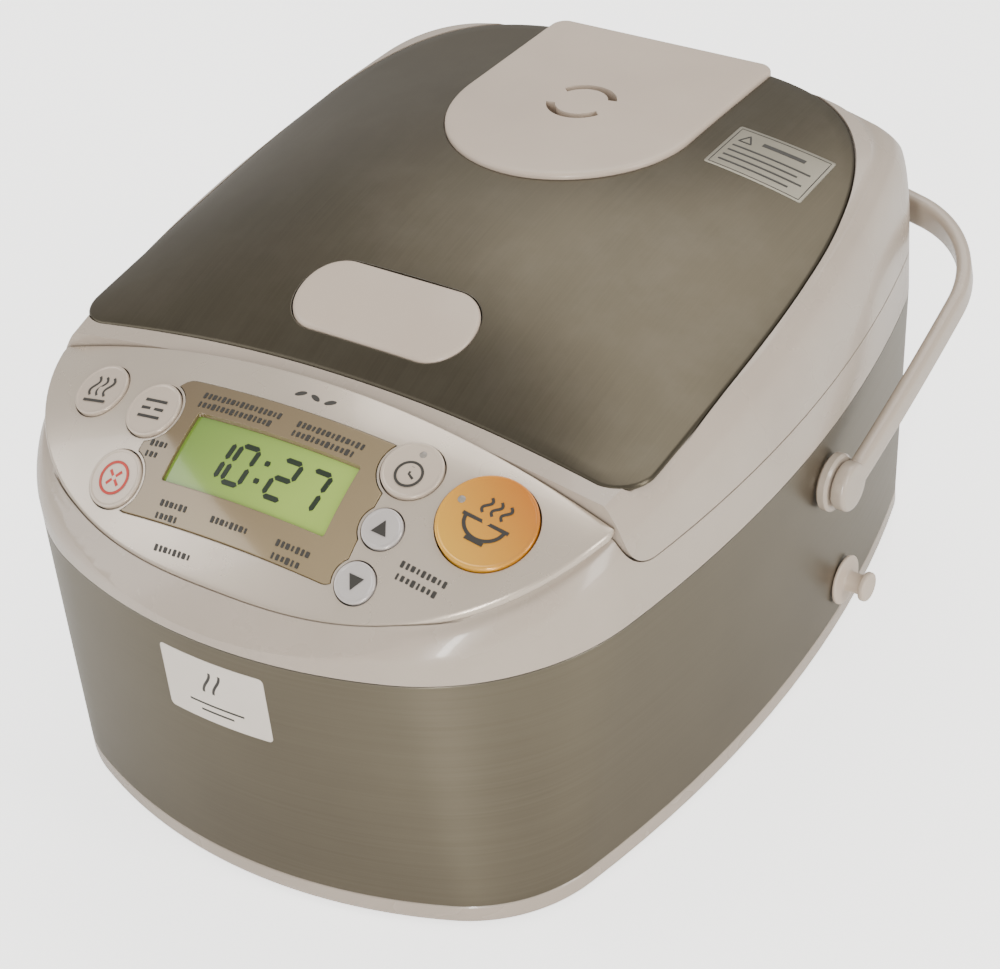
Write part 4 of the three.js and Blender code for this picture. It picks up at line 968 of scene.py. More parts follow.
@dataclass(frozen=True)
class Finish:
    """A moulded, painted, cast or rubber surface.

    colour and second are the display colours that the broad tone moves between; where a finish fades along a
    direction they are the two ends of its painted shading. wear is the colour that shows where edges are rubbed.
    """

    name: str
    colour: tuple[int, int, int]
    second: tuple[int, int, int]
    wear: tuple[int, int, int]
    roughness: float = 0.35
    metallic: float = 0.0
    coat: float = 0.0
    grain_scale: float = 900.0
    grain_depth: float = 0.02
    edge: float = 0.0004
    dust: float = 0.25

    def _colour(self, w: Wiring, spot: Sockets) -> bpy.types.NodeSocket:
        """Returns the base colour before wear and dust."""
        return w.blend(spot["Tone"], tint(*self.colour), tint(*self.second))

    def _tune(self, w: Wiring, shader: bpy.types.Node, spot: Sockets) -> None:
        """Sets what only some finishes have."""

    def material(self, effects: Effects) -> bpy.types.Material:
        """Builds the material.

        Args:
            effects: The shared shader groups.

        Returns:
            The material.
        """
        material = bpy.data.materials.new(self.name)
        material.use_nodes = True
        w = Wiring(material.node_tree)
        shader = material.node_tree.nodes["Principled BSDF"]
        place = w.add("ShaderNodeTexCoord").outputs["Object"]
        grain = w.add("ShaderNodeGroup", node_tree=effects.grain)
        grain.inputs["Scale"].default_value = self.grain_scale
        edges = w.add("ShaderNodeGroup", node_tree=effects.edges)
        edges.inputs["Radius"].default_value = self.edge
        dust = w.add("ShaderNodeGroup", node_tree=effects.dust)
        dust.inputs["Amount"].default_value = self.dust
        for node in (grain, dust):
            w.tree.links.new(place, node.inputs["Vector"])
        spot = {
            "Place": place, "Height": grain.outputs["Height"], "Tone": grain.outputs["Tone"],
            "Rubbed": edges.outputs["Rubbed"], "Dust": dust.outputs["Mask"],
        }
        colour = self._colour(w, spot)
        colour = w.blend(w.remap(spot["Rubbed"], 0.0, 1.0, 0.0, 0.5), colour, tint(*self.wear))
        colour = w.blend(w.remap(spot["Dust"], 0.0, 1.0, 0.0, 0.25), colour, tint(205, 200, 190))
        low, high = max(self.roughness - 0.04, 0.02), self.roughness + 0.05
        rough = w.add("ShaderNodeMath", {0: w.remap(spot["Tone"], 0, 1, low, high)}, operation="ADD")
        w.tree.links.new(w.remap(spot["Dust"], 0.0, 1.0, 0.0, 0.2), rough.inputs[1])
        bump = w.add("ShaderNodeBump", {
            "Strength": 0.5, "Distance": self.grain_depth * MM,
            "Height": spot["Height"], "Normal": edges.outputs["Normal"],
        })
        links = (("Base Color", colour), ("Roughness", rough.outputs[0]), ("Normal", bump.outputs[0]))
        for label, source in links:
            w.tree.links.new(source, shader.inputs[label])
        shader.inputs["Metallic"].default_value = self.metallic
        shader.inputs["Coat Weight"].default_value = self.coat
        shader.inputs["Coat Roughness"].default_value = 0.06
        spot["Bump"] = bump.inputs["Height"]
        self._tune(w, shader, spot)
        return material


@dataclass(frozen=True)
class Brushed(Finish):
    """Stainless sheet with long brushed lines."""

    stretch: Point3 = (20.0, 20.0, 2400.0)
    streak_colour: tuple[int, int, int] = (125, 118, 103)
    anisotropy: float = 0.6
    turn: float = 0.25
    radial: bool = True
    effects_tree: str = "Brushed lines"

    def _tune(self, w: Wiring, shader: bpy.types.Node, spot: Sockets) -> None:
        """Adds the brushed lines, which set the colour, the gloss and the fine relief.

        Args:
            w: The material's tree.
            shader: Its surface shader.
            spot: Sockets shared by all finishes.
        """
        lines = w.add("ShaderNodeGroup", node_tree=bpy.data.node_groups[self.effects_tree])
        lines.inputs["Stretch"].default_value = self.stretch
        w.tree.links.new(spot["Place"], lines.inputs["Vector"])
        before = shader.inputs["Base Color"].links[0].from_socket
        share = w.remap(lines.outputs["Streak"], 0.0, 1.0, 0.0, 0.4)
        w.tree.links.new(w.blend(share, before, tint(*self.streak_colour)), shader.inputs["Base Color"])
        rough = w.remap(lines.outputs["Streak"], 0.0, 1.0, self.roughness - 0.02, self.roughness + 0.03)
        w.tree.links.new(rough, shader.inputs["Roughness"])
        w.tree.links.new(lines.outputs["Height"], spot["Bump"])
        shader.inputs["Anisotropic"].default_value = self.anisotropy
        shader.inputs["Anisotropic Rotation"].default_value = self.turn
        tangent = w.add("ShaderNodeTangent", direction_type="RADIAL" if self.radial else "UV_MAP")
        if self.radial:
            tangent.axis = "Z"
        else:
            tangent.uv_map = FLAT_MAP
        w.tree.links.new(tangent.outputs[0], shader.inputs["Tangent"])


@dataclass(frozen=True)
class PaintedShadingFade(Finish):
    """A surface with painted shading: its colour fades to a second one along a direction, in place of the light
    and shade that fall across it.
    """

    middle: Point3 = (0.0, 0.0, 0.0)
    direction: Point3 = (1.0, 0.0, 0.0)
    reach: float = 0.02
    glow: float = 0.0

    def _colour(self, w: Wiring, spot: Sockets) -> bpy.types.NodeSocket:
        """Returns the colour that fades along the direction: painted shading, the first tone on one side and the
        second on the other.
        """
        away = w.add("ShaderNodeVectorMath", {0: spot["Place"], 1: self.middle}, operation="SUBTRACT")
        along = w.add("ShaderNodeVectorMath", {0: away.outputs[0], 1: self.direction}, operation="DOT_PRODUCT")
        # Painted shading: the share runs from the first tone to the second across the surface.
        share = w.remap(along.outputs["Value"], -self.reach, self.reach, 0.0, 1.0)
        return w.blend(share, tint(*self.colour), tint(*self.second))

    def _tune(self, w: Wiring, shader: bpy.types.Node, spot: Sockets) -> None:
        """Adds the glow of a lit display."""
        if self.glow:
            w.tree.links.new(shader.inputs["Base Color"].links[0].from_socket, shader.inputs["Emission Color"])
            shader.inputs["Emission Strength"].default_value = self.glow


FLAT_MAP = "Flat"


class Dress(Enum):
    """The finishes of this cooker."""

    BODY_PLASTIC = Finish(
        "Warm grey moulding", (176, 163, 149), (168, 155, 141), (196, 184, 172), 0.26, 0, 0.35, 1400, 0.006)
    CAP_PLASTIC = Finish(
        "Pale moulding", (197, 181, 164), (189, 173, 157), (212, 198, 184), 0.34, 0, 0.12, 1400, 0.008)
    DARK_PLASTIC = Finish("Dark moulding", (46, 45, 44), (38, 37, 36), (70, 68, 66), 0.5, 0, 0, 700, 0.02)
    PANEL = Finish(
        "Silver paint", (202, 189, 173), (192, 179, 163), (222, 212, 200), 0.27, 0.55, 0.5, 5200, 0.008, dust=0.1)
    BODY_STEEL = Brushed(
        "Brushed body sheet", (113, 106, 91), (107, 100, 86), (176, 174, 164), 0.36, 1.0, 0, dust=0.0)
    LID_STEEL = Brushed(
        "Brushed lid sheet", (86, 80, 68), (80, 75, 64), (190, 186, 176), 0.33, 1.0, 0, dust=0.1,
        stretch=(3200.0, 60.0, 60.0), streak_colour=(96, 90, 77), anisotropy=0.5, turn=0.0, radial=False)
    # Painted shading: the bronze darkens towards the back left and lightens to a painted highlight towards the
    # front right.
    WINDOW = PaintedShadingFade(
        "Bronze window", (112, 94, 66), (150, 132, 98), (150, 132, 98), 0.12, 0.25, 0.8, 900, 0.003, dust=0.05,
        middle=(0.0, -0.1117, 0.13), direction=(0.8, -0.6, 0.0), reach=0.045)
    # Painted shading: the green is darker at the back left, painted shade where the window's edge shades the
    # display, and lighter towards the front right. The glow is the display's own backlight.
    DISPLAY = PaintedShadingFade(
        "Display green", (96, 128, 44), (146, 174, 74), (96, 128, 44), 0.12, 0, 0.6, 900, 0.001, dust=0.0,
        middle=(-0.012, -0.108, 0.13), direction=(0.86, -0.5, 0.0), reach=0.026, glow=0.12)
    SEGMENT = Finish("Display segment", (22, 34, 18), (28, 42, 22), (22, 34, 18), 0.3, dust=0)
    BUTTON = Finish(
        "Button silver", (200, 185, 168), (191, 176, 160), (222, 214, 204), 0.3, 0.2, 0.3, 3000, 0.004, dust=0.1)
    ARROW_BUTTON = Finish(
        "Arrow button", (196, 190, 186), (186, 180, 178), (222, 214, 204), 0.22, 0.2, 0.6, 3000, 0.004)
    # Painted shading: the gold is lighter towards the front left and a deeper orange towards the back right, in
    # place of the light and shade across the button.
    COOK_BUTTON = PaintedShadingFade(
        "Golden button", (222, 166, 52), (198, 118, 16), (236, 196, 110), 0.22, 0.25, 0.6, 3000, 0.003, dust=0.05,
        middle=(0.07, -0.1012, 0.13), direction=(0.5, 0.86, 0.0), reach=0.013)
    INK = Finish("Dark print", (44, 42, 38), (52, 49, 44), (60, 57, 52), 0.5, dust=0)
    RED_INK = Finish("Red print", (198, 58, 48), (186, 52, 44), (198, 80, 70), 0.5, dust=0)
    LAMP = Finish("Lamp lens", (140, 134, 126), (128, 122, 114), (160, 154, 146), 0.2, 0, 0.5, dust=0)
    LABEL = Finish(
        "Paper label", (222, 213, 202), (214, 205, 194), (226, 220, 212), 0.45, 0, 0.15, 1800, 0.006, dust=0)
    CLEAR_LABEL = Finish(
        "Film label", (142, 137, 122), (134, 129, 115), (160, 154, 140), 0.3, 0.5, 0.2, 1800, 0.006)
    ALUMINIUM = Finish(
        "Spun aluminium", (188, 190, 192), (176, 178, 181), (214, 216, 218), 0.34, 1.0, 0, 1200, 0.01)
    PAN = Finish("Pan coating", (58, 58, 61), (50, 50, 53), (110, 108, 104), 0.42, 0.3, 0.1, 3400, 0.02)
    LEVEL_MARK = Finish("Level print", (196, 194, 188), (184, 182, 176), (200, 198, 192), 0.5, dust=0)
    ZINC = Finish("Zinc plate", (150, 154, 158), (136, 140, 145), (196, 198, 200), 0.36, 1.0, 0, 700, 0.01)
    RUBBER = Finish("Grey rubber", (66, 64, 62), (58, 56, 54), (84, 82, 80), 0.75, 0, 0, 1200, 0.05)
    BLACK_RUBBER = Finish("Black rubber", (32, 32, 32), (26, 26, 26), (50, 50, 50), 0.7, 0, 0, 1200, 0.05)
    SILICONE = Finish("Silicone", (192, 186, 178), (184, 178, 170), (204, 198, 192), 0.55, 0, 0, 1200, 0.02)
    BOARD = Finish("Board laminate", (38, 86, 52), (32, 76, 46), (150, 120, 60), 0.4, 0, 0.2, 500, 0.03)


class Workshop:
    """Makes finished pieces: dressed meshes at the origin that ride on the frame's bodies."""

    def __init__(self, shape: Shape, record: dict) -> None:
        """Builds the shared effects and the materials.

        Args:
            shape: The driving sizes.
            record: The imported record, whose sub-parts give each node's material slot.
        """
        self.shape = shape
        self.effects = Effects()
        self.repeater = Repeater()
        self.materials = {dress: dress.value.material(self.effects) for dress in Dress}
        self.slots = {row["node"]: row["material_slot"] for row in record["subparts"]}
        low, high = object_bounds()
        rear = (Vector(high).y - Vector(low).y) / MM - shape.top_plan.front
        self.middle_y = (rear - shape.top_plan.front) / 2
        self.to_frame = Matrix.Scale(MM, 4) @ Matrix.Translation((0, -self.middle_y, 0))

    def piece(
        self,
        name: str,
        solid: Solid,
        body: str,
        dress: Dress,
        stands_for: Sequence[str] = (),
        slot: Optional[str] = None,
        sharp: float = 32,
        flat_map: bool = False,
    ) -> bpy.types.Object:
        """Finishes one piece.

        Args:
            name: Name of the piece.
            solid: Its body in the cooker's own axes, in millimetres.
            body: The frame body that it rides on.
            dress: Its finish.
            stands_for: CAD nodes that it replaces.
            slot: Material slot, where it isn't that of the first node it stands for; not used.
            sharp: Edges sharper than this many degrees stay crisp.
            flat_map: Whether it gets a map of X and Y for the direction of its brushing.

        Returns:
            The finished object.
        """
        mesh = solid.mesh.copy()
        mesh.name = name
        mesh.transform(self.to_frame)
        form = bmesh.new()
        form.from_mesh(mesh)
        bmesh.ops.remove_doubles(form, verts=form.verts, dist=2e-7)
        bmesh.ops.dissolve_degenerate(form, dist=1e-7, edges=form.edges)
        form.to_mesh(mesh)
        form.free()
        mesh.polygons.foreach_set("use_smooth", [True] * len(mesh.polygons))
        mesh.set_sharp_from_angle(angle=math.radians(sharp))
        mesh.materials.clear()
        mesh.materials.append(self.materials[dress])
        mesh.polygons.foreach_set("material_index", [0] * len(mesh.polygons))
        if flat_map:
            layer = mesh.uv_layers.new(name=FLAT_MAP)
            layer.data.foreach_set(
                "uv", [v * 5 for loop in mesh.loops for v in mesh.vertices[loop.vertex_index].co.xy])
        piece = bpy.data.objects.new(name, mesh)
        bpy.context.scene.collection.objects.link(piece)
        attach(piece, body)
        if stands_for:
            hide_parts(*stands_for)
        LOG.info("%s: %d faces on %s", name, len(mesh.polygons), body)
        return piece

    def dress_node(self, node: bpy.types.Object, dress: Dress) -> None:
        """Gives a carried-over CAD node its material."""
        node.data.materials.clear()
        node.data.materials.append(self.materials[dress])
        LOG.info("%s keeps its CAD shape", node.name)

    def middle(self, node: str) -> Vector:
        """Returns the middle of a CAD node's box in the cooker's own axes, in millimetres."""
        low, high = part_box(node)
        return (low + high) / 2 / MM + Vector((0, self.middle_y, 0))


# ---- Sub-assemblies -------------------------------------------------------------------------

WIDE = (-119.4, 119.4)


@dataclass(frozen=True)
class Base:
    """Base tray with its feet, screws and air slots, and the steel wall above it."""

    work: Workshop
    tray_bottom: float = 2.0
    tray_floor: float = 3.0
    foot_radius: float = 9.0
    foot_height: float = 1.7
    screw_head: float = 3.5
    slot_length: float = 26.0
    pin_hole: float = 4.6

    def build(self) -> None:
        """Builds and dresses the base and the wall."""
        self._tray()
        self._feet()
        self._wall()
        self._fittings()
        self._label()

    def _tray(self) -> None:
        """Base tray with rounded lower edge, air slots and screw wells."""
        s, bottom = self.work.shape, self.tray_bottom
        rim = s.base_rim
        rings = []
        for k in range(7):
            turn = math.pi / 2 * k / 6
            rings.append(ring(s.body_plan(rim, 2.2 * (1 - math.sin(turn))), bottom + 2.2 * (1 - math.cos(turn))))
        inner = s.steel + s.gap
        rings += [ring(s.body_plan(rim), rim - 0.5), ring(s.body_plan(rim, 0.4), rim)]
        rings += [ring(s.body_plan(rim, inner), z) for z in (rim, rim + s.spigot)]
        rings += [ring(s.body_plan(rim, inner + 2), z) for z in (rim + s.spigot, bottom + self.tray_floor)]
        middles = [self.work.middle(f"base_screw_{i}") for i in range(1, 5)]
        wells = [rod(self.screw_head + 0.6, bottom - 1, bottom + 1.5, 32).moved(m.x, m.y, 0) for m in middles]
        slot = prism(rounded_rectangle(0, 0, self.slot_length, 2.6, 1.25, 6), bottom - 1, bottom + 1.6)
        rows = [
            Copy(Matrix.Translation((side * 36.0, y, 0)))
            for side in (-1, 1)
            for y in [-64 + 7.5 * k for k in range(7)] + [52 + 7.5 * k for k in range(5)]
        ]
        slots = self.work.repeater.place(slot, rows, self.work.materials[Dress.DARK_PLASTIC])
        tray = loft(rings).cut(*wells, slots)
        self.work.piece("base_tray_moulding", tray, "cooker_body", Dress.BODY_PLASTIC, ["base_tray"])

    def _feet(self) -> None:
        """Ribbed rubber feet and cross-recessed screws, set by the repeater."""
        r, top = self.foot_radius, self.foot_height
        ribs = [(0, 0.25), (r * 0.3, 0.25), (r * 0.3, 0), (r * 0.5, 0), (r * 0.5, 0.3), (r * 0.68, 0.3)]
        foot = turned([*ribs, (r * 0.68, 0), (r - 0.5, 0), (r, 0.5), (r, top), (0, top)], 48)
        names = [f"foot_{i}" for i in range(1, 5)]
        places = [Copy(Matrix.Translation(self.work.middle(n).xy.to_3d())) for n in names]
        feet = self.work.repeater.place(foot, places, self.work.materials[Dress.RUBBER])
        self.work.piece("rubber_feet", feet, "cooker_body", Dress.RUBBER, names)
        head = rod(self.screw_head, 0, 0.9, 32).join(rod(1.5, 0.8, 12, 16))
        arms = [box(-2.1, 2.1, -0.4, 0.4, -1, 0.6), box(-0.4, 0.4, -2.1, 2.1, -1, 0.6)]
        screw = head.cut(arms[0].join(arms[1]))
        names = [f"base_screw_{i}" for i in range(1, 5)]
        low = self.tray_bottom + 0.3
        places = [Copy(Matrix.Translation((self.work.middle(n).x, self.work.middle(n).y, low))) for n in names]
        screws = self.work.repeater.place(screw, places, self.work.materials[Dress.ZINC])
        self.work.piece("base_screws", screws, "cooker_body", Dress.ZINC, names)

    def _wall(self) -> None:
        """Brushed steel wall with its holes."""
        s = self.work.shape
        low, high = s.base_rim + s.gap, s.body_height - s.gap
        levels = [mix(low, high, k / 8) for k in range(9)]
        rings = [ring(s.body_plan(z), z) for z in levels] + [ring(s.body_plan(z, s.steel), z) for z in (high, low)]
        holes = []
        pins = [(f"handle_pin_{side}", self.pin_hole) for side in ("right", "left")]
        for node, radius in [*pins, ("spatula_hook", 3.8)]:
            m = self.work.middle(node)
            holes.append(rod(radius, -40, 40, 40).along_x().moved(m.x, m.y, m.z))
        gland = self.work.middle("cord_gland")
        bore = rod(6.4, -30, 30, 40).at(Matrix.Rotation(math.pi / 2, 4, "X")).moved(gland.x, gland.y, gland.z)
        wall = loft(rings, True).cut(*holes, bore)
        self.work.piece("steel_wall", wall, "cooker_body", Dress.BODY_STEEL, ["outer_shell"], sharp=40)

    def _fittings(self) -> None:
        """Spatula peg and cord inlet bush."""
        peg = [
            (0, -6), (3.4, -6), (3.4, 1.1), (8.5, 1.1), (8.5, 2.3), (3.4, 2.7),
            (3.4, 8.5), (5, 8.5), (5, 10.7), (0, 10.7),
        ]
        m = self.work.middle("spatula_hook")
        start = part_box("spatula_hook")[1].x / MM - peg[-1][1]
        hook = turned(rounded_profile(peg, 0.9, 4), 48).along_x().moved(start, m.y, m.z)
        self.work.piece("spatula_peg", hook, "cooker_body", Dress.CAP_PLASTIC, ["spatula_hook"])
        bush = [(3.2, -9), (6, -9), (6, 2), (9, 2), (9, 3.2), (7.6, 4.4), (4.7, 6), (3.2, 6), (3.2, -9)]
        m = self.work.middle("cord_gland")
        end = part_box("cord_gland")[1].y / MM + self.work.middle_y
        gland = turned(bush, 48).at(Matrix.Rotation(-math.pi / 2, 4, "X")).moved(m.x, end - 6, m.z)
        self.work.piece("inlet_bush", gland, "cooker_body", Dress.BLACK_RUBBER, ["cord_gland"])

    def _front(self, x: float, z: float) -> float:
        """Y of the wall's front face."""
        s = self.work.shape
        share = clamp((z - s.base_rim) / (s.body_height - s.base_rim), 0, 1)
        front = mix(s.base_plan.front, s.top_plan.front, share)
        return s.top_plan.front_radius - front - math.sqrt(s.top_plan.front_radius**2 - x**2)

    def _on_front(self, flat: Solid, lift: float) -> Solid:
        """Wraps a flat body on to the wall's front.

        Args:
            flat: A body drawn as (x, z) with its thickness along +Z.
            lift: Distance in front of the wall.

        Returns:
            The wrapped body.
        """
        wrapped = flat.at(Matrix.Identity(4))
        for v in wrapped.mesh.vertices:
            x, z, out = v.co
            v.co = (x, self._front(x, z) - out - lift, z)
        form = bmesh.new()
        form.from_mesh(wrapped.mesh)
        bmesh.ops.recalc_face_normals(form, faces=form.faces)
        form.to_mesh(wrapped.mesh)
        form.free()
        return wrapped

    def _label(self) -> None:
        """Plain paper label on the front with a generic steam mark and two bars."""
        x, z, wide, tall = 2.0, 76.0, 38.0, 24.0
        outline = finer(rounded_rectangle(x, z, wide, tall, 1.6, 6), 1.5)
        paper = pillow(outline, lambda a, b: 0.05, 0.12, 0.02)
        self.work.piece("front_label", self._on_front(paper, 0.0), "cooker_body", Dress.LABEL, slot="body_plastic")
        wave = [(1.6 * math.sin(t / 3.0), t) for t in range(-5, 6)]
        marks = [stroke([(x + dx + a, z + 3.5 + b * 0.8) for a, b in wave], 0.9, thick=0.03) for dx in (-2.2, 1.4)]
        bars = [stroke([(x + a, z - 5.4 - 2.6 * row) for a in slices_of(-length / 2, length / 2)], 0.7, thick=0.03)
                for row, length in ((0, 20), (1, 12))]
        ink = marks[0].join(*marks[1:], *bars)
        self.work.piece("label_print", self._on_front(ink, 0.07), "cooker_body", Dress.INK, slot="body_plastic")


def slices_of(start: float, end: float, steps: int = 12) -> list[float]:
    """Returns evenly spaced values from start to end."""
    return [mix(start, end, k / steps) for k in range(steps + 1)]


@dataclass(frozen=True)
class Handle:
    """Swing handle with its bosses, and sockets for its pins."""

    work: Workshop
    pivot_y: float = 25.0
    pivot_z: float = 76.0
    tilt: float = 14.5
    thickness: float = 5.0
    soft: float = 1.6
    arm_width: float = 9.5
    grip_width: float = 13.0
    rear: float = 153.3
    bend: float = 40.0
    half: float = 116.4

    def path(self) -> list[Point2]:
        """Half of the handle's centre line.

        Returns:
            Points of (x, distance from the pivot), from the pivot to the middle.
        """
        tilt = math.radians(self.tilt)
        deep, wide = self.thickness / 2 - self.soft, self.grip_width / 2 - self.soft
        reach = deep * math.cos(tilt) + wide * math.sin(tilt)
        length = (self.rear - self.pivot_y - reach - self.soft) / math.cos(tilt)
        side, rear = (self.half - 1500.0, 0.0), (0.0, length - 330.0)
        bend = meet(side, 1500 - self.bend, rear, 330 - self.bend, lambda p: p[0] + p[1])
        turns = [0.0, angle_to(side, bend), angle_to(rear, bend), math.pi / 2]
        return [
            *arc(side, 1500, turns[0], turns[1], 16),
            *arc(bend, self.bend, turns[1], turns[2], 30),
            *arc(rear, 330, turns[2], turns[3], 14),
            (0.0, length),
        ]

    def sweep(self, clearance: float) -> Solid:
        """Room inside the path that the handle swings through.

        Args:
            clearance: Gap between the handle and the room.

        Returns:
            The room behind the pivot, joined to everything in front of it.
        """
        offset = self.thickness / 2 + clearance
        half = self.path()
        inside = []
        for i, (x, s) in enumerate(half):
            (ax, ay), (bx, by) = half[max(i - 1, 0)], half[min(i + 1, len(half) - 1)]
            length = math.hypot(bx - ax, by - ay)
            inside.append((s + offset * (bx - ax) / length, x - offset * (by - ay) / length))
        inside = [p for p in inside if p[0] > 1]
        inside[-1] = (inside[-1][0], 0.0)
        widest = inside[0][1]
        profile = [(0, -widest), *[(s, -x) for s, x in inside], *[(s, x) for s, x in inside[-2::-1]], (0, widest)]
        swept = turned(profile, 180).along_x().moved(0, self.pivot_y, self.pivot_z)
        return swept.join(box(-200, 200, -200, self.pivot_y, 0, 300))

    def build(self) -> None:
        """Builds and dresses the handle and its bosses, with sockets for the pins."""
        half = self.path()
        path = [(-x, s) for x, s in half] + half[-2::-1]
        first, last = half[16][1], half[-8][1]
        rings = []
        for i, (x, s) in enumerate(path):
            (ax, ay), (bx, by) = path[max(i - 1, 0)], path[min(i + 1, len(path) - 1)]
            length = math.hypot(bx - ax, by - ay)
            out = (-(by - ay) / length, (bx - ax) / length)
            t = clamp((s - first) / (last - first), 0, 1)
            width = mix(self.arm_width, self.grip_width, t * t * (3 - 2 * t))
            section = rounded_rectangle(0, 0, self.thickness, width, self.soft + 0.6, 5)
            rings.append([(x + a * out[0], s + a * out[1], up) for a, up in section])
        edge = [(0, -2.5), (8, -2.5), (8, 2.5), (0, 2.5)]
        socket = self.half - self.thickness / 2 - 1
        sides = (1, -1)
        ends = [turned(rounded_profile(edge, 1.6, 5), 48).along_x(k).moved(k * self.half, 0, 0) for k in sides]
        sockets = [rod(4.3, 0, 4.2, 40).along_x(k).moved(k * socket, 0, 0) for k in sides]
        rise = Matrix.Rotation(math.radians(self.tilt), 4, "X")
        lean = Matrix.Translation((0, self.pivot_y, self.pivot_z)) @ rise
        bar = loft(rings).join(*ends).cut(*sockets).at(lean)
        self.work.piece("carrying_handle", bar, "handle", Dress.BODY_PLASTIC, ["handle"])
        for side, label in ((1, "right"), (-1, "left")):
            low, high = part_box(f"handle_boss_{label}")
            near, far = sorted((abs(low.x), abs(high.x)))
            boss = tube(4.3, 9.5, near / MM, far / MM, 0.8).along_x(side).moved(0, self.pivot_y, self.pivot_z)
            self.work.piece(
                f"handle_boss_ring_{label}", boss, "cooker_body", Dress.BODY_PLASTIC, [f"handle_boss_{label}"])


@dataclass(frozen=True)
class Frame:
    """Upper frame: the pale band that rises into the console and carries the deck and the hinge lugs."""

    work: Workshop
    lip: float = 11.0
    lip_rise: float = 0.3
    ledge: float = 5.0
    deck_hole: float = 85.3
    lug_x: float = 39.0
    lug_width: float = 10.0
    lug_radius: float = 6.5

    def blank(self, inset: float = 0) -> Solid:
        """Outer shape of the frame.

        Args:
            inset: How far it is moved inwards.

        Returns:
            The shape.
        """
        s = self.work.shape
        rows = smooth_rows([(0, 0), (0.4, 0), (0.68, 1.2), (0.87, 3.6), (1, 7.2), (1.6, 11), (3.6, 30)], 6)
        rings = []
        for share, drawn in rows:
            rings.append([
                (x, y, s.body_height + share * (self.lip + max(y + s.top_plan.front, 0) * self.lip_rise))
                for x, y in s.top_plan.outline(inset + max(drawn, 0))
            ])
        return loft(rings)

    def build(self, buttons: Sequence[Solid], zone: Solid) -> None:
        """Builds and dresses the frame.

        Args:
            buttons: Rods through the console round every button.
            zone: Room that the lid needs.
        """
        s = self.work.shape
        back = s.front_edge(0) + 2
        ahead = (-s.top_plan.front - 4, back)
        under = lambda x, y: -20.0
        top = sheet(s.panel, under, WIDE, ahead, 60, 40).join(box(*WIDE, back - 1, 146, -20, s.deck_height))
        shell = self.blank().inside(top)
        roof_z = s.deck_height - s.plastic
        depth = s.panel_sheet + s.gap
        roof = sheet(lambda x, y: s.panel(x, y) - depth - 2, under, WIDE, ahead, 30, 20)
        roof = roof.join(box(*WIDE, back - 1, 146, -20, roof_z)).inside(box(-200, 200, -200, 200, 60, roof_z))
        cavity = self.blank(s.plastic).inside(roof)
        hollow = prism(s.panel_plan(self.ledge), 60, 200).inside(self.blank(s.plastic - 0.5))
        recess = prism(s.panel_plan(-s.gap - 0.1), 60, 200).inside(
            sheet(lambda x, y: s.panel(x, y) + 30, lambda x, y: s.panel(x, y) - depth, WIDE, ahead, 60, 40))
        outline = [
            (s.hinge_y - self.lug_radius, roof_z + 0.5), (s.hinge_y + self.lug_radius, roof_z + 0.5),
            *arc((s.hinge_y, s.hinge_z), self.lug_radius, 0, math.pi, 24),
            (s.hinge_y - self.lug_radius, s.hinge_z),
        ]
        lugs = [
            cross_prism(outline, side * self.lug_x - self.lug_width / 2, side * self.lug_x + self.lug_width / 2)
            for side in (1, -1)
        ]
        latch_slot = box(-11, 11, -75.4, -66.3, 60, 130)
        pin = rod(2.8, -60, 60, 32).along_x().moved(0, s.hinge_y, s.hinge_z)
        body = shell.cut(zone, cavity, hollow, recess).join(*lugs)
        body = body.cut(rod(self.deck_hole, 90, 140, 128).moved(0, s.pan_y, 0), latch_slot, *buttons, pin)
        self.work.piece("frame_moulding", body, "cooker_body", Dress.BODY_PLASTIC, ["upper_frame"])


@dataclass(frozen=True)
class Key:
    """One push button of the panel: its place, its radius and its finish."""

    node: str
    x: float
    y: float
    radius: float
    dress: Dress


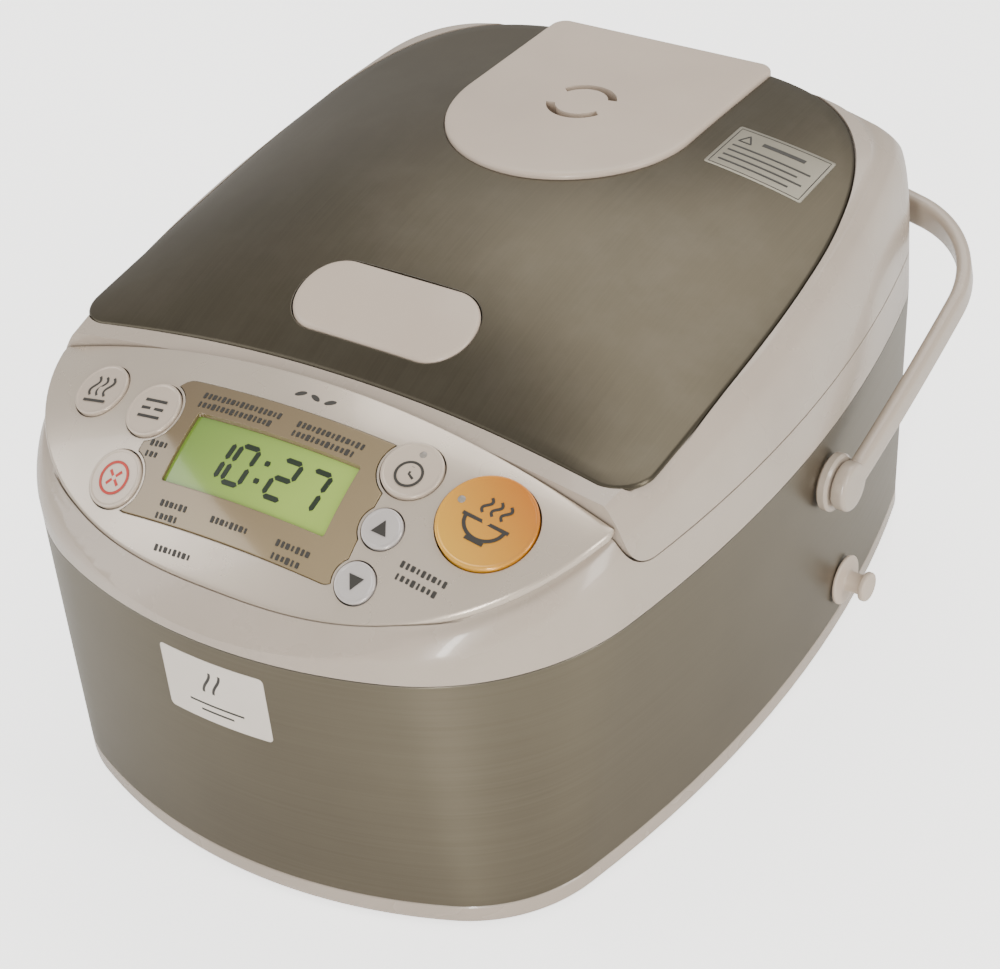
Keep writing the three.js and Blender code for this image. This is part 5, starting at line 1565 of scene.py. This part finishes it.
@dataclass(frozen=True)
class Console:
    """Control panel: silver cover, bronze window, display and push buttons with their pictograms."""

    work: Workshop
    keys: tuple[Key, ...] = (
        Key("button_cook", 70, -98.7, 14.8, Dress.COOK_BUTTON),
        Key("button_timer", 42.2, -94.5, 9.3, Dress.BUTTON),
        Key("button_hour_up", 43.2, -112, 6.2, Dress.ARROW_BUTTON),
        Key("button_hour_down", 42.6, -126, 6.2, Dress.ARROW_BUTTON),
        Key("button_keep_warm", -72.5, -98.2, 9.3, Dress.BUTTON),
        Key("button_menu", -48.6, -101.5, 9.3, Dress.BUTTON),
        Key("button_reset", -48.8, -121.9, 9.3, Dress.BUTTON),
    )
    clearance: float = 0.45
    notch: float = 1.5
    display: tuple[float, float, float, float] = (-2.5, -109.3, 60.0, 20.4)
    print_lift: float = 0.04

    def _place(self, x: float, y: float, lift: float = 0, turn: float = 0) -> Matrix:
        """Returns the place on the panel's surface."""
        return on_surface(self.work.shape.panel, x, y, lift, turn)

    def rods(self, margin: float) -> list[Solid]:
        """Returns a rod through the panel round every button, this much wider than the button."""
        return [rod(k.radius + margin, -20, 8, 72).at(self._place(k.x, k.y)) for k in self.keys]

    def build(self) -> None:
        """Builds and dresses the panel and what is on it."""
        self._cover()
        self._window()
        self._digits()
        self._prints()
        for key in self.keys:
            self._key(key)

    def _cover(self) -> None:
        """Silver cover with a soft outer edge."""
        s = self.work.shape
        plan = s.panel_plan()
        cover = pillow(plan, s.panel, s.panel_sheet, 0.7)
        window = prism(rounded_rectangle(-4, -109.2, 83.6, 40.2, 5.3), 60, 200).cut(*self.rods(self.notch - s.gap))
        cover = cover.cut(*self.rods(self.clearance), window)
        self.work.piece("console_cover", cover, "cooker_body", Dress.PANEL, ["panel_cover"])

    def _window(self) -> None:
        """Bronze window with an opening over the display, and the display under it."""
        s = self.work.shape
        x, y, wide, deep = self.display
        sill = sheet(
            lambda a, b: s.panel(a, b) + 0.2, lambda a, b: s.panel(a, b) - s.panel_sheet,
            (-50, 42), (-132, -86), 60, 40)
        window = sill.inside(prism(rounded_rectangle(-4, -109.2, 83, 39.6, 5), 60, 200))
        window = window.cut(*self.rods(self.notch), prism(rounded_rectangle(x, y, wide, deep, 0.8), 60, 200))
        self.work.piece("console_window", window, "cooker_body", Dress.WINDOW, ["lcd_window"])
        glass = sheet(
            lambda a, b: s.panel(a, b) - 1.1, lambda a, b: s.panel(a, b) - 2.0, (-50, 42), (-132, -86), 60, 40)
        glass = glass.inside(prism(rounded_rectangle(x, y, wide - 0.1, deep - 0.1, 0.75), 60, 200))
        self.work.piece("display_glass", glass, "cooker_body", Dress.DISPLAY, slot="lcd_green")

    def _digits(self) -> None:
        """Seven-segment digits of a generic time, each segment set by the repeater."""
        bar = prism([(-0.5, 0), (-0.36, -0.13), (0.36, -0.13), (0.5, 0), (0.36, 0.13), (-0.36, 0.13)], -0.06, 0.06)
        tall, wide, slant = 12.6, 6.4, 0.12
        lit = {"1": "bc", "0": "abcdef", "2": "abged", "7": "abc"}
        spots = {
            "a": (0, 1, 0), "b": (0.5, 0.5, 90), "c": (0.5, -0.5, 90), "d": (0, -1, 0), "e": (-0.5, -0.5, 90),
            "f": (-0.5, 0.5, 90), "g": (0, 0, 0),
        }
        copies: list[Copy] = []
        level = self.work.shape.panel

        def under(x: float, y: float) -> float:
            """Height of the display's face."""
            return level(x, y) - 1.1

        x0, y0 = self.display[0], self.display[1]
        for digit, dx in (("1", -16), ("0", -7), ("2", 8.5), ("7", 19)):
            for name in lit[digit]:
                sx, sy, turn = spots[name]
                up = sy * tall / 2 * 0.86
                x, y = x0 + dx + sx * wide + up * slant, y0 + up
                size = (tall * 0.43 if turn else wide * 0.92)
                place = on_surface(under, x, y, 0.05, math.radians(turn) - (slant if turn else 0))
                copies.append(Copy(place, (size, 6.4, 1.0)))
        for up in (-2.6, 2.6):
            copies.append(Copy(on_surface(under, x0 + 0.9 + up * slant, y0 + up, 0.05), (2.0, 6.4, 1.0)))
        digits = self.work.repeater.place(bar, copies, self.work.materials[Dress.SEGMENT])
        self.work.piece("display_digits", digits, "cooker_body", Dress.SEGMENT, slot="lcd_green")

    def _prints(self) -> None:
        """Short bars that stand where words are printed, set by the repeater, and a plain grain mark."""
        bar = prism(rounded_rectangle(0, 0, 1, 1, 0.2, 3), -0.06, 0.06)
        groups = (
            (-20.0, -93.4, 17, 2, 0.25), (13.0, -93.8, 14, 2, 0.25), (-39.6, -110.6, 4, 2, 0.25),
            (-24, -124.6, 6, 2, 0.25), (-3.0, -124.8, 8, 1, 0.25), (20, -124.6, 7, 2, 0.25),
            (60.5, -117.5, 9, 2, 0.04), (-18, -134.6, 8, 1, 0.04),
        )
        copies: list[Copy] = []
        for x, y, count, rows, lift in groups:
            for row in range(rows):
                for k in range(count - row):
                    wide = (1.1, 0.7, 1.3, 0.9)[(k * 3 + row) % 4]
                    place = self._place(x + (k - (count - 1) / 2) * 1.75, y - row * 3.1, lift)
                    copies.append(Copy(place, (wide, 2.1 - 0.5 * (row + k) % 2 * 0.3, 1.0)))
        bars = self.work.repeater.place(bar, copies, self.work.materials[Dress.INK])
        self.work.piece("console_print", bars, "cooker_body", Dress.INK, slot="panel_silver")
        grain = prism([(1.9 * math.cos(t) * (1 - 0.1 * math.sin(t)), 0.8 * math.sin(t)) for t in
                       [2 * math.pi * i / 20 for i in range(20)]], -0.06, 0.06)
        grains = [Copy(self._place(-5 + 5.4 * k, -83.9, self.print_lift, (0.5, -0.35, 0.5)[k])) for k in range(3)]
        mark = self.work.repeater.place(grain, grains, self.work.materials[Dress.INK])
        self.work.piece("grain_mark", mark, "cooker_body", Dress.INK, slot="panel_silver")

    def _pictogram(self, node: str) -> list[Solid]:
        """Flat strokes of a button's pictogram.

        Args:
            node: Name of the button's node.

        Returns:
            The strokes, round the button's own middle.
        """
        wave = [(1.1 * math.sin(t * 0.9), t) for t in [-3.4 + 6.8 * k / 16 for k in range(17)]]
        circle = [(math.cos(a), math.sin(a)) for a in [2 * math.pi * k / 40 for k in range(40)]]
        if node == "button_keep_warm":
            waves = [stroke([(x + dx, y + 0.9) for x, y in wave], 0.8) for dx in (-3, 0, 3)]
            return [*waves, stroke([(-4.4, -4.4), (4.4, -4.4)], 0.9)]
        if node == "button_menu":
            return [stroke([(-4.2, y), (4.2, y)], 0.95) for y in (2.8, 0, -2.8)]
        if node == "button_reset":
            ring_line = stroke([(5 * x, 5 * y) for x, y in circle], 0.85, True)
            return [ring_line, stroke([(-2.2, -2.2), (2.2, 2.2)], 0.95), stroke([(-2.2, 2.2), (2.2, -2.2)], 0.95)]
        if node == "button_timer":
            face = stroke([(4 * x, 4 * y - 1.7) for x, y in circle], 0.8, True)
            return [face, stroke([(0, 0.9), (0, -1.7), (1.9, -2.7)], 0.75)]
        if node == "button_cook":
            turns = [math.pi + math.pi * k / 24 for k in range(25)]
            bowl = [(6.4 * math.cos(a), 5.6 * math.sin(a) - 0.6) for a in turns]
            lines = [stroke([(-7.6, -0.6), (7.6, -0.6)], 1.1), stroke([(-3, -6.9), (3, -6.9)], 1.1)]
            steam = [stroke([(x * 0.9 + dx, y * 0.75 + 4.4) for x, y in wave], 0.9) for dx in (-2.6, 0.6, 3.8)]
            return [stroke(bowl, 1.1), *lines, *steam]
        point = 1 if node == "button_hour_up" else -1
        corners = [(-2.5, -1.9 * point), (2.5, -1.9 * point), (0, 2.5 * point)]
        return [prism(corners[::point], -0.05, 0.05)]

    def _key(self, key: Key) -> None:
        """Push button with a soft rim, its pictogram and its lamp.

        Args:
            key: Node, place, radius and dress of the button.
        """
        body, r = key.node, key.radius
        profile = [(0, -5), (r, -5), (r, 0.75), (r - 0.75, 0.8), (r - 1.1, 0.62), (0, 1.05)]
        cap = turned([profile[0], *rounded_profile(profile[1:], 0.5, 4)], 96).at(self._place(key.x, key.y))
        self.work.piece(f"{key.node}_cap", cap, body, key.dress, [key.node])
        dress = Dress.RED_INK if key.node == "button_reset" else Dress.INK
        parts = self._pictogram(key.node)
        lift = 1.06 if r < 7 else 0.96
        lifted = [p.at(self._place(key.x, key.y, lift)) for p in parts]
        ink = lifted[0].join(*lifted[1:]) if len(lifted) > 1 else lifted[0]
        self.work.piece(f"{key.node}_print", ink, body, dress, slot=self.work.slots[key.node])
        lamp = {"button_timer": (0.2, 5.6, 1.1), "button_cook": (-10.2, 2.6, 1.15)}.get(key.node)
        if lamp:
            dot = turned([(0, -0.4), (lamp[2], -0.4), (lamp[2], 0.1), (lamp[2] * 0.6, 0.3), (0, 0.36)], 32)
            dot = dot.moved(lamp[0], lamp[1], 0).at(self._place(key.x, key.y, 0.75))
            self.work.piece(f"{key.node}_lamp", dot, body, Dress.LAMP, slot=self.work.slots[key.node])


@dataclass(frozen=True)
class Lid:
    """Hinged lid: rim, domed steel plate, steam cap, open button and the parts inside it."""

    work: Workshop
    corner: float = 12.0
    button_height: float = 6.0
    button_proud: float = 0.8
    cap_proud: float = 1.6
    duct: float = 19.0
    duct_wall: float = 2.0
    lug_x: float = 39.0
    lug_width: float = 10.0
    lug_radius: float = 6.5

    def blank(self, inset: float = 0) -> Solid:
        """Outer shape of the lid before its top is cut to the dome.

        Args:
            inset: How far it is moved inwards.

        Returns:
            The shape.
        """
        s = self.work.shape
        rows = smooth_rows([
            (-4, 0, 0, 0), (10, 0.35, 0.1, 0), (19, 0.8, 1.2, -1), (25, 1, 3.2, -4),
            (29, 1, 5.8, -8), (32, 1, 8.5, -13), (45, 1.4, 14, -20),
        ], 6)
        top = s.top_plan
        rings = []
        for rise, share, drawn, back in rows:
            rear = s.lid_rear + 4.7 + min(back, 0)
            plan = BodyPlan(top.half_width, top.front, rear, top.front_corner, top.rear_corner)
            outline = plan.outline(inset + max(drawn, 0))
            rings.append([(x, y, s.lid_bottom + rise + share * s.edge_rise * y) for x, y in outline])
        return loft(rings)

    def zone(self, margin: float) -> Solid:
        """Room above the lid's lower boundary.

        Args:
            margin: How much larger it is all round.

        Returns:
            The room.
        """
        s = self.work.shape
        bottom, corner = s.lid_bottom - margin, self.corner + margin
        parts = []
        for i in range(25):
            x = mix(-131.4, 131.4, i / 24)
            front = s.front_edge(x, s.rim_width + margin)
            outline = [
                *arc((front + corner, bottom + corner), corner, math.pi, 1.5 * math.pi, 12),
                (front + corner, bottom),
                (s.hinge_y - 9, bottom),
                *arc((s.hinge_y, s.hinge_z), s.barrel + margin, 1.32 * math.pi, 2 * math.pi, 16),
                (s.hinge_y + s.barrel + margin, s.hinge_z),
                (s.hinge_y + s.barrel + margin, 220),
                (front, 220),
            ]
            parts.append([(x, y, z) for y, z in outline])
        return loft(parts)

    def _skin(self, upper: float, lower: float) -> Solid:
        """Returns a sheet that follows the lid's top between two depths."""
        s = self.work.shape
        ys = (s.front_edge(111.4) - 14, s.lid_rear + 6)
        top = (lambda x, y: s.lid(x, y) - upper) if upper > -50 else (lambda x, y: 240.0)
        low = (lambda x, y: s.lid(x, y) - lower) if lower < 50 else (lambda x, y: 60.0)
        return sheet(top, low, WIDE, ys, 72, 72)

    def build(self, handle: Handle) -> None:
        """Builds and dresses the lid.

        Args:
            handle: The handle, which the lid's back leaves room for.
        """
        s = self.work.shape
        self._rim(handle.sweep(s.handle_clearance), handle.sweep(s.handle_clearance + s.plastic))
        plate = pillow(s.plate_plan(), s.lid, s.plate_sheet, 1.0)
        plate = plate.cut(prism(cap_plan(0.4), 60, 240), prism(open_button_plan(0.4), 60, 240))
        self.work.piece("lid_plate", plate, "lid", Dress.LID_STEEL, ["lid_top_plate"], flat_map=True)
        self._cap()
        button = pillow(
            open_button_plan(), lambda x, y: s.lid(x, y) + self.button_proud,
            self.button_height + self.button_proud, 1.3, 0.25)
        self.work.piece("open_button_cap", button, "open_button", Dress.CAP_PLASTIC, ["open_button"])
        self._inside()
        self._film_label()

    def _rim(self, sweep: Solid, inner_sweep: Solid) -> None:
        """Pale rim round the plate, with the hinge barrel.

        Args:
            sweep: Room inside the path of the handle.
            inner_sweep: The same room, less the thickness of the lid's back wall.
        """
        s = self.work.shape
        front = s.front_edge(0, s.rim_width) + self.corner - s.gap
        top = self.blank().inside(self._skin(0, 99), self.zone(0), sweep)
        floor = s.plate_sheet + s.gap
        low = [
            (front, s.lid_bottom - 2), (s.hinge_y - s.barrel - 2, s.lid_bottom - 2),
            (s.hinge_y - s.barrel - 2, 200), (front, 200),
        ]
        hollow = self.blank(s.plastic)
        hollow = hollow.inside(self._skin(floor + 2.9, 99), cross_prism(low, -200, 200), inner_sweep)
        barrel = rod(s.barrel - 0.4, -52, 52, 64).along_x().moved(0, s.hinge_y, s.hinge_z).inside(self.zone(0))
        half = self.lug_width / 2 + 1
        knuckles = [
            box(side * self.lug_x - half, side * self.lug_x + half,
                s.hinge_y - self.lug_radius - 1.2, s.hinge_y + 30,
                s.lid_bottom - 8, s.hinge_z + self.lug_radius + 1.2)
            for side in (1, -1)
        ]
        body = top.cut(hollow).join(barrel)
        pan = prism(s.plate_plan(s.gap), 60, 240).join(prism(cap_plan(0.4), 60, 240))
        pan = pan.inside(self._skin(-99, floor))
        cuts = [
            pan, prism(open_button_plan(0.6), 100, 240),
            rod(self.duct - self.duct_wall, 100, 240, 96).moved(0, s.vent_y, 0), *knuckles,
            rod(7.6, -9, 9, 48).along_x().moved(0, s.hinge_y, s.hinge_z),
            box(-8.6, 8.6, s.hinge_y - 4, s.hinge_y + 4, s.lid_bottom - 4, s.hinge_z),
            rod(2.8, -60, 60, 32).along_x().moved(0, s.hinge_y, s.hinge_z),
        ]
        self.work.piece("lid_rim", body.cut(*cuts), "lid", Dress.BODY_PLASTIC, ["lid_frame"])

    def _cap(self) -> None:
        """Tongue-shaped steam cap with two curved slots and a plug tube."""
        s = self.work.shape
        level = s.lid(0, s.vent_y)
        cap = pillow(
            cap_plan(), lambda x, y: s.lid(x, y) + self.cap_proud, s.plate_sheet + self.cap_proud, 1.1, 0)
        outer = self.duct - self.duct_wall - 1.2
        plug = tube(outer - 2, outer, level - 16, level, 0, 96).moved(0, s.vent_y, 0)
        slots = []
        for start in (25, 205):
            first, last = math.radians(start), math.radians(start + 130)
            outside, inside = arc((0, s.vent_y), 11.5, first, last, 28), arc((0, s.vent_y), 8.6, last, first, 28)
            slots.append(prism([*outside, *inside], level - 8, level + 8))
        cap = cap.join(plug).cut(*slots)
        self.work.piece("steam_cap_shell", cap, "steam_cap", Dress.CAP_PLASTIC, ["steam_cap"])

    def _inside(self) -> None:
        """Inner cover, inner lid and gasket."""
        s = self.work.shape
        bottom = s.lid_bottom + s.gap
        inset = s.plastic + 3 * s.gap
        plan = s.top_plan.outline(inset)
        zone = box(-200, 200, s.front_edge(0, s.rim_width) + self.corner, s.hinge_y - s.barrel - 3, 100, 130)
        slot = box(-11, 11, -75.8, -66.3, 100, 130)
        cover = loft([ring(plan, bottom), ring(plan, bottom + 2.5)]).inside(zone)
        cover = cover.cut(slot, rod(9, 100, 130, 64).moved(0, s.vent_y, 0))
        self.work.piece("lid_floor", cover, "lid", Dress.CAP_PLASTIC, ["lid_inner_cover"])
        r, top = 75.5, s.lid_bottom - 0.1
        profile = [
            (0, top - 1.2), (r - 12, top - 1.2), (r - 8, top - 3.2), (r, top - 3.2),
            (r, top - 2), (r - 7.4, top - 2), (r - 11.4, top), (0, top),
        ]
        disc = turned(rounded_profile(profile, 0.9, 4), 160).moved(0, s.pan_y, 0)
        holes = [rod(5, 90, 130, 48).moved(0, s.vent_y, 0)]
        pores = [
            Copy(Matrix.Translation((12 * math.cos(a), s.vent_y + 12 * math.sin(a) - 8, 100)))
            for a in [2 * math.pi * k / 14 for k in range(14)] if s.vent_y + 12 * math.sin(a) - 8 < s.vent_y - 7
        ]
        holes.append(self.work.repeater.place(rod(1.1, 0, 20, 16), pores, self.work.materials[Dress.ALUMINIUM]))
        self.work.piece("inner_lid_disc", disc.cut(*holes), "lid", Dress.ALUMINIUM, ["inner_lid"])
        seal = tube(r + s.gap, r + 6, 107.8, top, 0.9, 160).moved(0, s.pan_y, 0)
        self.work.piece("pan_seal", seal, "lid", Dress.SILICONE, ["inner_lid_gasket"])

    def _film_label(self) -> None:
        """Thin film label on the plate with a plain border and bars in place of words."""
        s = self.work.shape
        x, y, wide, deep = 68.0, 66.0, 34.0, 24.0
        place = on_surface(s.lid, x, y)

        def flat(a: float, b: float) -> float:
            """Height of the plate in the label's own axes."""
            return s.lid(x + a, y + b)

        edge = finer(rounded_rectangle(0, 0, wide, deep, 0.8, 5), 1.5)
        film = pillow(edge, lambda a, b: flat(a, b) + 0.06, 0.1, 0.02)
        self.work.piece("lid_film_label", film.moved(x, y, 0), "lid", Dress.CLEAR_LABEL, slot="brushed_lid")
        a, b = wide / 2 - 1.2, deep / 2 - 1.2
        lines = [([(-a, -b), (a, -b), (a, b), (-a, b)], True, 0.3)]
        lines += [([(-13.5, 4.2), (-9.2, 4.2), (-11.35, 8.2)], True, 0.6)]
        lines += [([(-6, 6.4), (9, 6.4)], False, 1.7)]
        lines += [([(-14, 1.2 - 3.0 * k), (13.5 - 3.1 * (k % 2), 1.2 - 3.0 * k)], False, 0.8) for k in range(4)]
        solids = []
        for path, closed, width in lines:
            fine: list[Point2] = []
            ends = path[1:] + path[:1] if closed else path[1:]
            for a, b in zip(path, ends):
                fine += [(mix(a[0], b[0], k / 8), mix(a[1], b[1], k / 8)) for k in range(8)]
            if not closed:
                fine.append(path[-1])
            line = stroke(fine, width, closed, 0.03)
            for v in line.mesh.vertices:
                v.co.z += flat(v.co.x, v.co.y) + 0.09
            solids.append(line.moved(x, y, 0))
        ink = solids[0].join(*solids[1:])
        self.work.piece("lid_label_print", ink, "lid", Dress.INK, slot="brushed_lid")
        LOG.info("film label lies at height %.1f", place.translation.z)


@dataclass(frozen=True)
class Well:
    """What is seen with the lid open: the coated pan with its level marks."""

    work: Workshop
    radius: float = 78.0
    wall: float = 2.0
    rim: float = 6.5
    bottom: float = 31.0
    top: float = 107.5
    corner: float = 14.0

    def build(self) -> None:
        """Builds and dresses the pan and its level marks."""
        s = self.work.shape
        r, rim, low, top = self.radius, self.radius + self.rim, self.bottom, self.top

        def bend(radius: float, z: float, corner: float) -> list[Point2]:
            """Rounded corner from the floor up to the wall."""
            middle = (radius - corner, z + corner)
            return [*arc(middle, corner, -math.pi / 2, 0, 12), (radius, z + corner)]

        inner = bend(r - self.wall, low + self.wall, self.corner - self.wall)[::-1]
        lip = [
            (r, top - self.wall), (rim - 0.8, top - self.wall), (rim, top - 1.4), (rim, top - 0.6),
            (rim - 0.8, top), (r - self.wall + 1.2, top), (r - self.wall, top - 1.2),
        ]
        profile = [(0, low), *bend(r, low, self.corner), *lip, *inner, (0, low + self.wall)]
        pan = turned(profile, 160).moved(0, s.pan_y, 0)
        self.work.piece("rice_pan", pan, "cooker_body", Dress.PAN, ["inner_pan"], slot="pan_coating")
        bar = prism(rounded_rectangle(0, 0, 1, 1, 0.3, 3), -0.1, 0.1)
        copies = []
        for side in (0.9, math.pi + 0.9):
            for k in range(7):
                z = low + 20 + 7 * k
                out = Vector((math.cos(side), math.sin(side), 0))
                level = Vector((-out.y, out.x, 0))
                turn = Matrix((level, Vector((0, 0, 1)), -out)).transposed().to_4x4()
                turn.translation = out * (r - self.wall - 0.06) + Vector((0, s.pan_y, z))
                copies.append(Copy(turn, (9.0 if k % 2 == 0 else 5.0, 0.7, 1.0)))
        marks = self.work.repeater.place(bar, copies, self.work.materials[Dress.LEVEL_MARK])
        self.work.piece("pan_level_marks", marks, "cooker_body", Dress.LEVEL_MARK, slot="pan_coating")


class Studio:
    """Floor, soft lights and camera."""

    def __init__(self) -> None:
        """Takes the object's box."""
        low, high = (Vector(v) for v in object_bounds())
        self.middle = (low + high) / 2
        self.floor = low.z

    def camera(self, middle_y: float) -> None:
        """Sets the camera that looks down on the front right corner.

        Args:
            middle_y: Y of the frame's origin in the cooker's own axes, in millimetres.
        """
        turn, rise, roll, distance = math.radians(37.505), math.radians(35.991), math.radians(-5.972), 0.86246
        target = Vector((0, (0.45 - middle_y) * MM, 56.21 * MM))
        back = Vector((math.sin(turn) * math.cos(rise), -math.cos(turn) * math.cos(rise), math.sin(rise)))
        level = (-back).cross(Vector((0, 0, 1))).normalized()
        above = level.cross(-back)
        right = level * math.cos(roll) + above * math.sin(roll)
        up = above * math.cos(roll) - level * math.sin(roll)
        data = bpy.data.cameras.new("camera")
        data.lens, data.sensor_width, data.shift_y = 93.76, 36.0, -0.008
        data.clip_start, data.clip_end = 0.05, 20
        camera = bpy.data.objects.new("camera", data)
        frame = Matrix((right, up, back)).transposed().to_4x4()
        frame.translation = target + back * distance
        camera.matrix_world = frame
        bpy.context.scene.collection.objects.link(camera)
        bpy.context.scene.camera = camera

    def ground(self) -> None:
        """Makes the plain pale floor and the sky light."""
        far = 6.0
        mesh = bpy.data.meshes.new("floor")
        corners = [(-far, -far, 0), (far, -far, 0), (far, far, 0), (-far, far, 0)]
        mesh.from_pydata(corners, [], [(0, 1, 2, 3)])
        floor = bpy.data.objects.new("floor", mesh)
        floor.location.z = self.floor
        material = bpy.data.materials.new("Pale floor")
        material.use_nodes = True
        shader = material.node_tree.nodes["Principled BSDF"]
        shader.inputs["Base Color"].default_value = tint(252, 252, 251)
        shader.inputs["Roughness"].default_value = 0.7
        self._whiten(material.node_tree, shader)
        mesh.materials.append(material)
        bpy.context.scene.collection.objects.link(floor)
        floor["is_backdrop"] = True
        world = bpy.data.worlds.new("studio")
        world.use_nodes = True
        world.node_tree.nodes["Background"].inputs["Color"].default_value = (1.0, 0.975, 0.94, 1)
        world.node_tree.nodes["Background"].inputs["Strength"].default_value = 0.8
        bpy.context.scene.world = world

    def _whiten(self, tree: bpy.types.NodeTree, shader: bpy.types.Node) -> None:
        """Makes the floor look nearly white to the camera without lighting the object from below.

        Args:
            tree: Node tree of the floor's material.
            shader: Its surface shader.
        """
        path = tree.nodes.new("ShaderNodeLightPath")
        tree.links.new(path.outputs["Is Camera Ray"], shader.inputs["Emission Strength"])
        shader.inputs["Emission Color"].default_value = (1.9, 1.9, 1.88, 1)

    def lights(self) -> None:
        """Sets the soft lights: a wide one above, two long ones that draw the highlights, and a fill."""
        rows = (
            ("overhead", (-0.1, 0.75, 1.4), 1.5, 0.8, 10.0, (1.0, 0.98, 0.95)),
            ("right_strip", (1.25, -0.05, 0.6), 0.3, 1.1, 9.0, (1.0, 0.98, 0.95)),
            ("corner_strip", (0.62, -1.3, 0.4), 0.12, 1.1, 15.0, (1.0, 0.98, 0.95)),
            ("left_fill", (-1.2, -0.7, 0.9), 0.8, 0.8, 5.0, (0.95, 0.97, 1.0)),
        )
        for name, place, wide, tall, power, colour in rows:
            data = bpy.data.lights.new(name, "AREA")
            data.shape, data.size, data.size_y, data.energy, data.color = "RECTANGLE", wide, tall, power, colour
            light = bpy.data.objects.new(name, data)
            light.location = place
            aim = self.middle - Vector(place)
            light.rotation_euler = aim.to_track_quat("-Z", "Y").to_euler()
            bpy.context.scene.collection.objects.link(light)


CARRIED = {
    "lcd_module": Dress.DISPLAY,
    "control_board": Dress.BOARD,
    "inner_housing": Dress.ALUMINIUM,
    "side_heater": Dress.ZINC,
    "heating_plate": Dress.ALUMINIUM,
    "centre_sensor": Dress.ALUMINIUM,
    "sensor_spring": Dress.ZINC,
    "sensor_bracket": Dress.ZINC,
    "power_board": Dress.BOARD,
    "handle_pin_right": Dress.ZINC,
    "handle_pin_left": Dress.ZINC,
    "hinge_pin": Dress.ZINC,
    "hinge_spring": Dress.ZINC,
    "steam_duct": Dress.CAP_PLASTIC,
    "open_button_spring": Dress.ZINC,
    "lid_latch": Dress.CAP_PLASTIC,
}


def main() -> None:
    """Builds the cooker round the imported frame, in order, and the studio round it."""
    logging.basicConfig(level=logging.INFO, format="%(message)s")
    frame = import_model()
    studio = Studio()
    work = Workshop(Shape(), frame["record"])
    studio.camera(work.middle_y)
    studio.ground()
    studio.lights()
    for node, dress in CARRIED.items():
        work.dress_node(frame["nodes"][node], dress)
    handle, lid, console = Handle(work), Lid(work), Console(work)
    Base(work).build()
    Frame(work).build(console.rods(console.clearance), lid.zone(work.shape.seam))
    console.build()
    Well(work).build()
    handle.build()
    lid.build(handle)


if __name__ == "__main__":
    main()
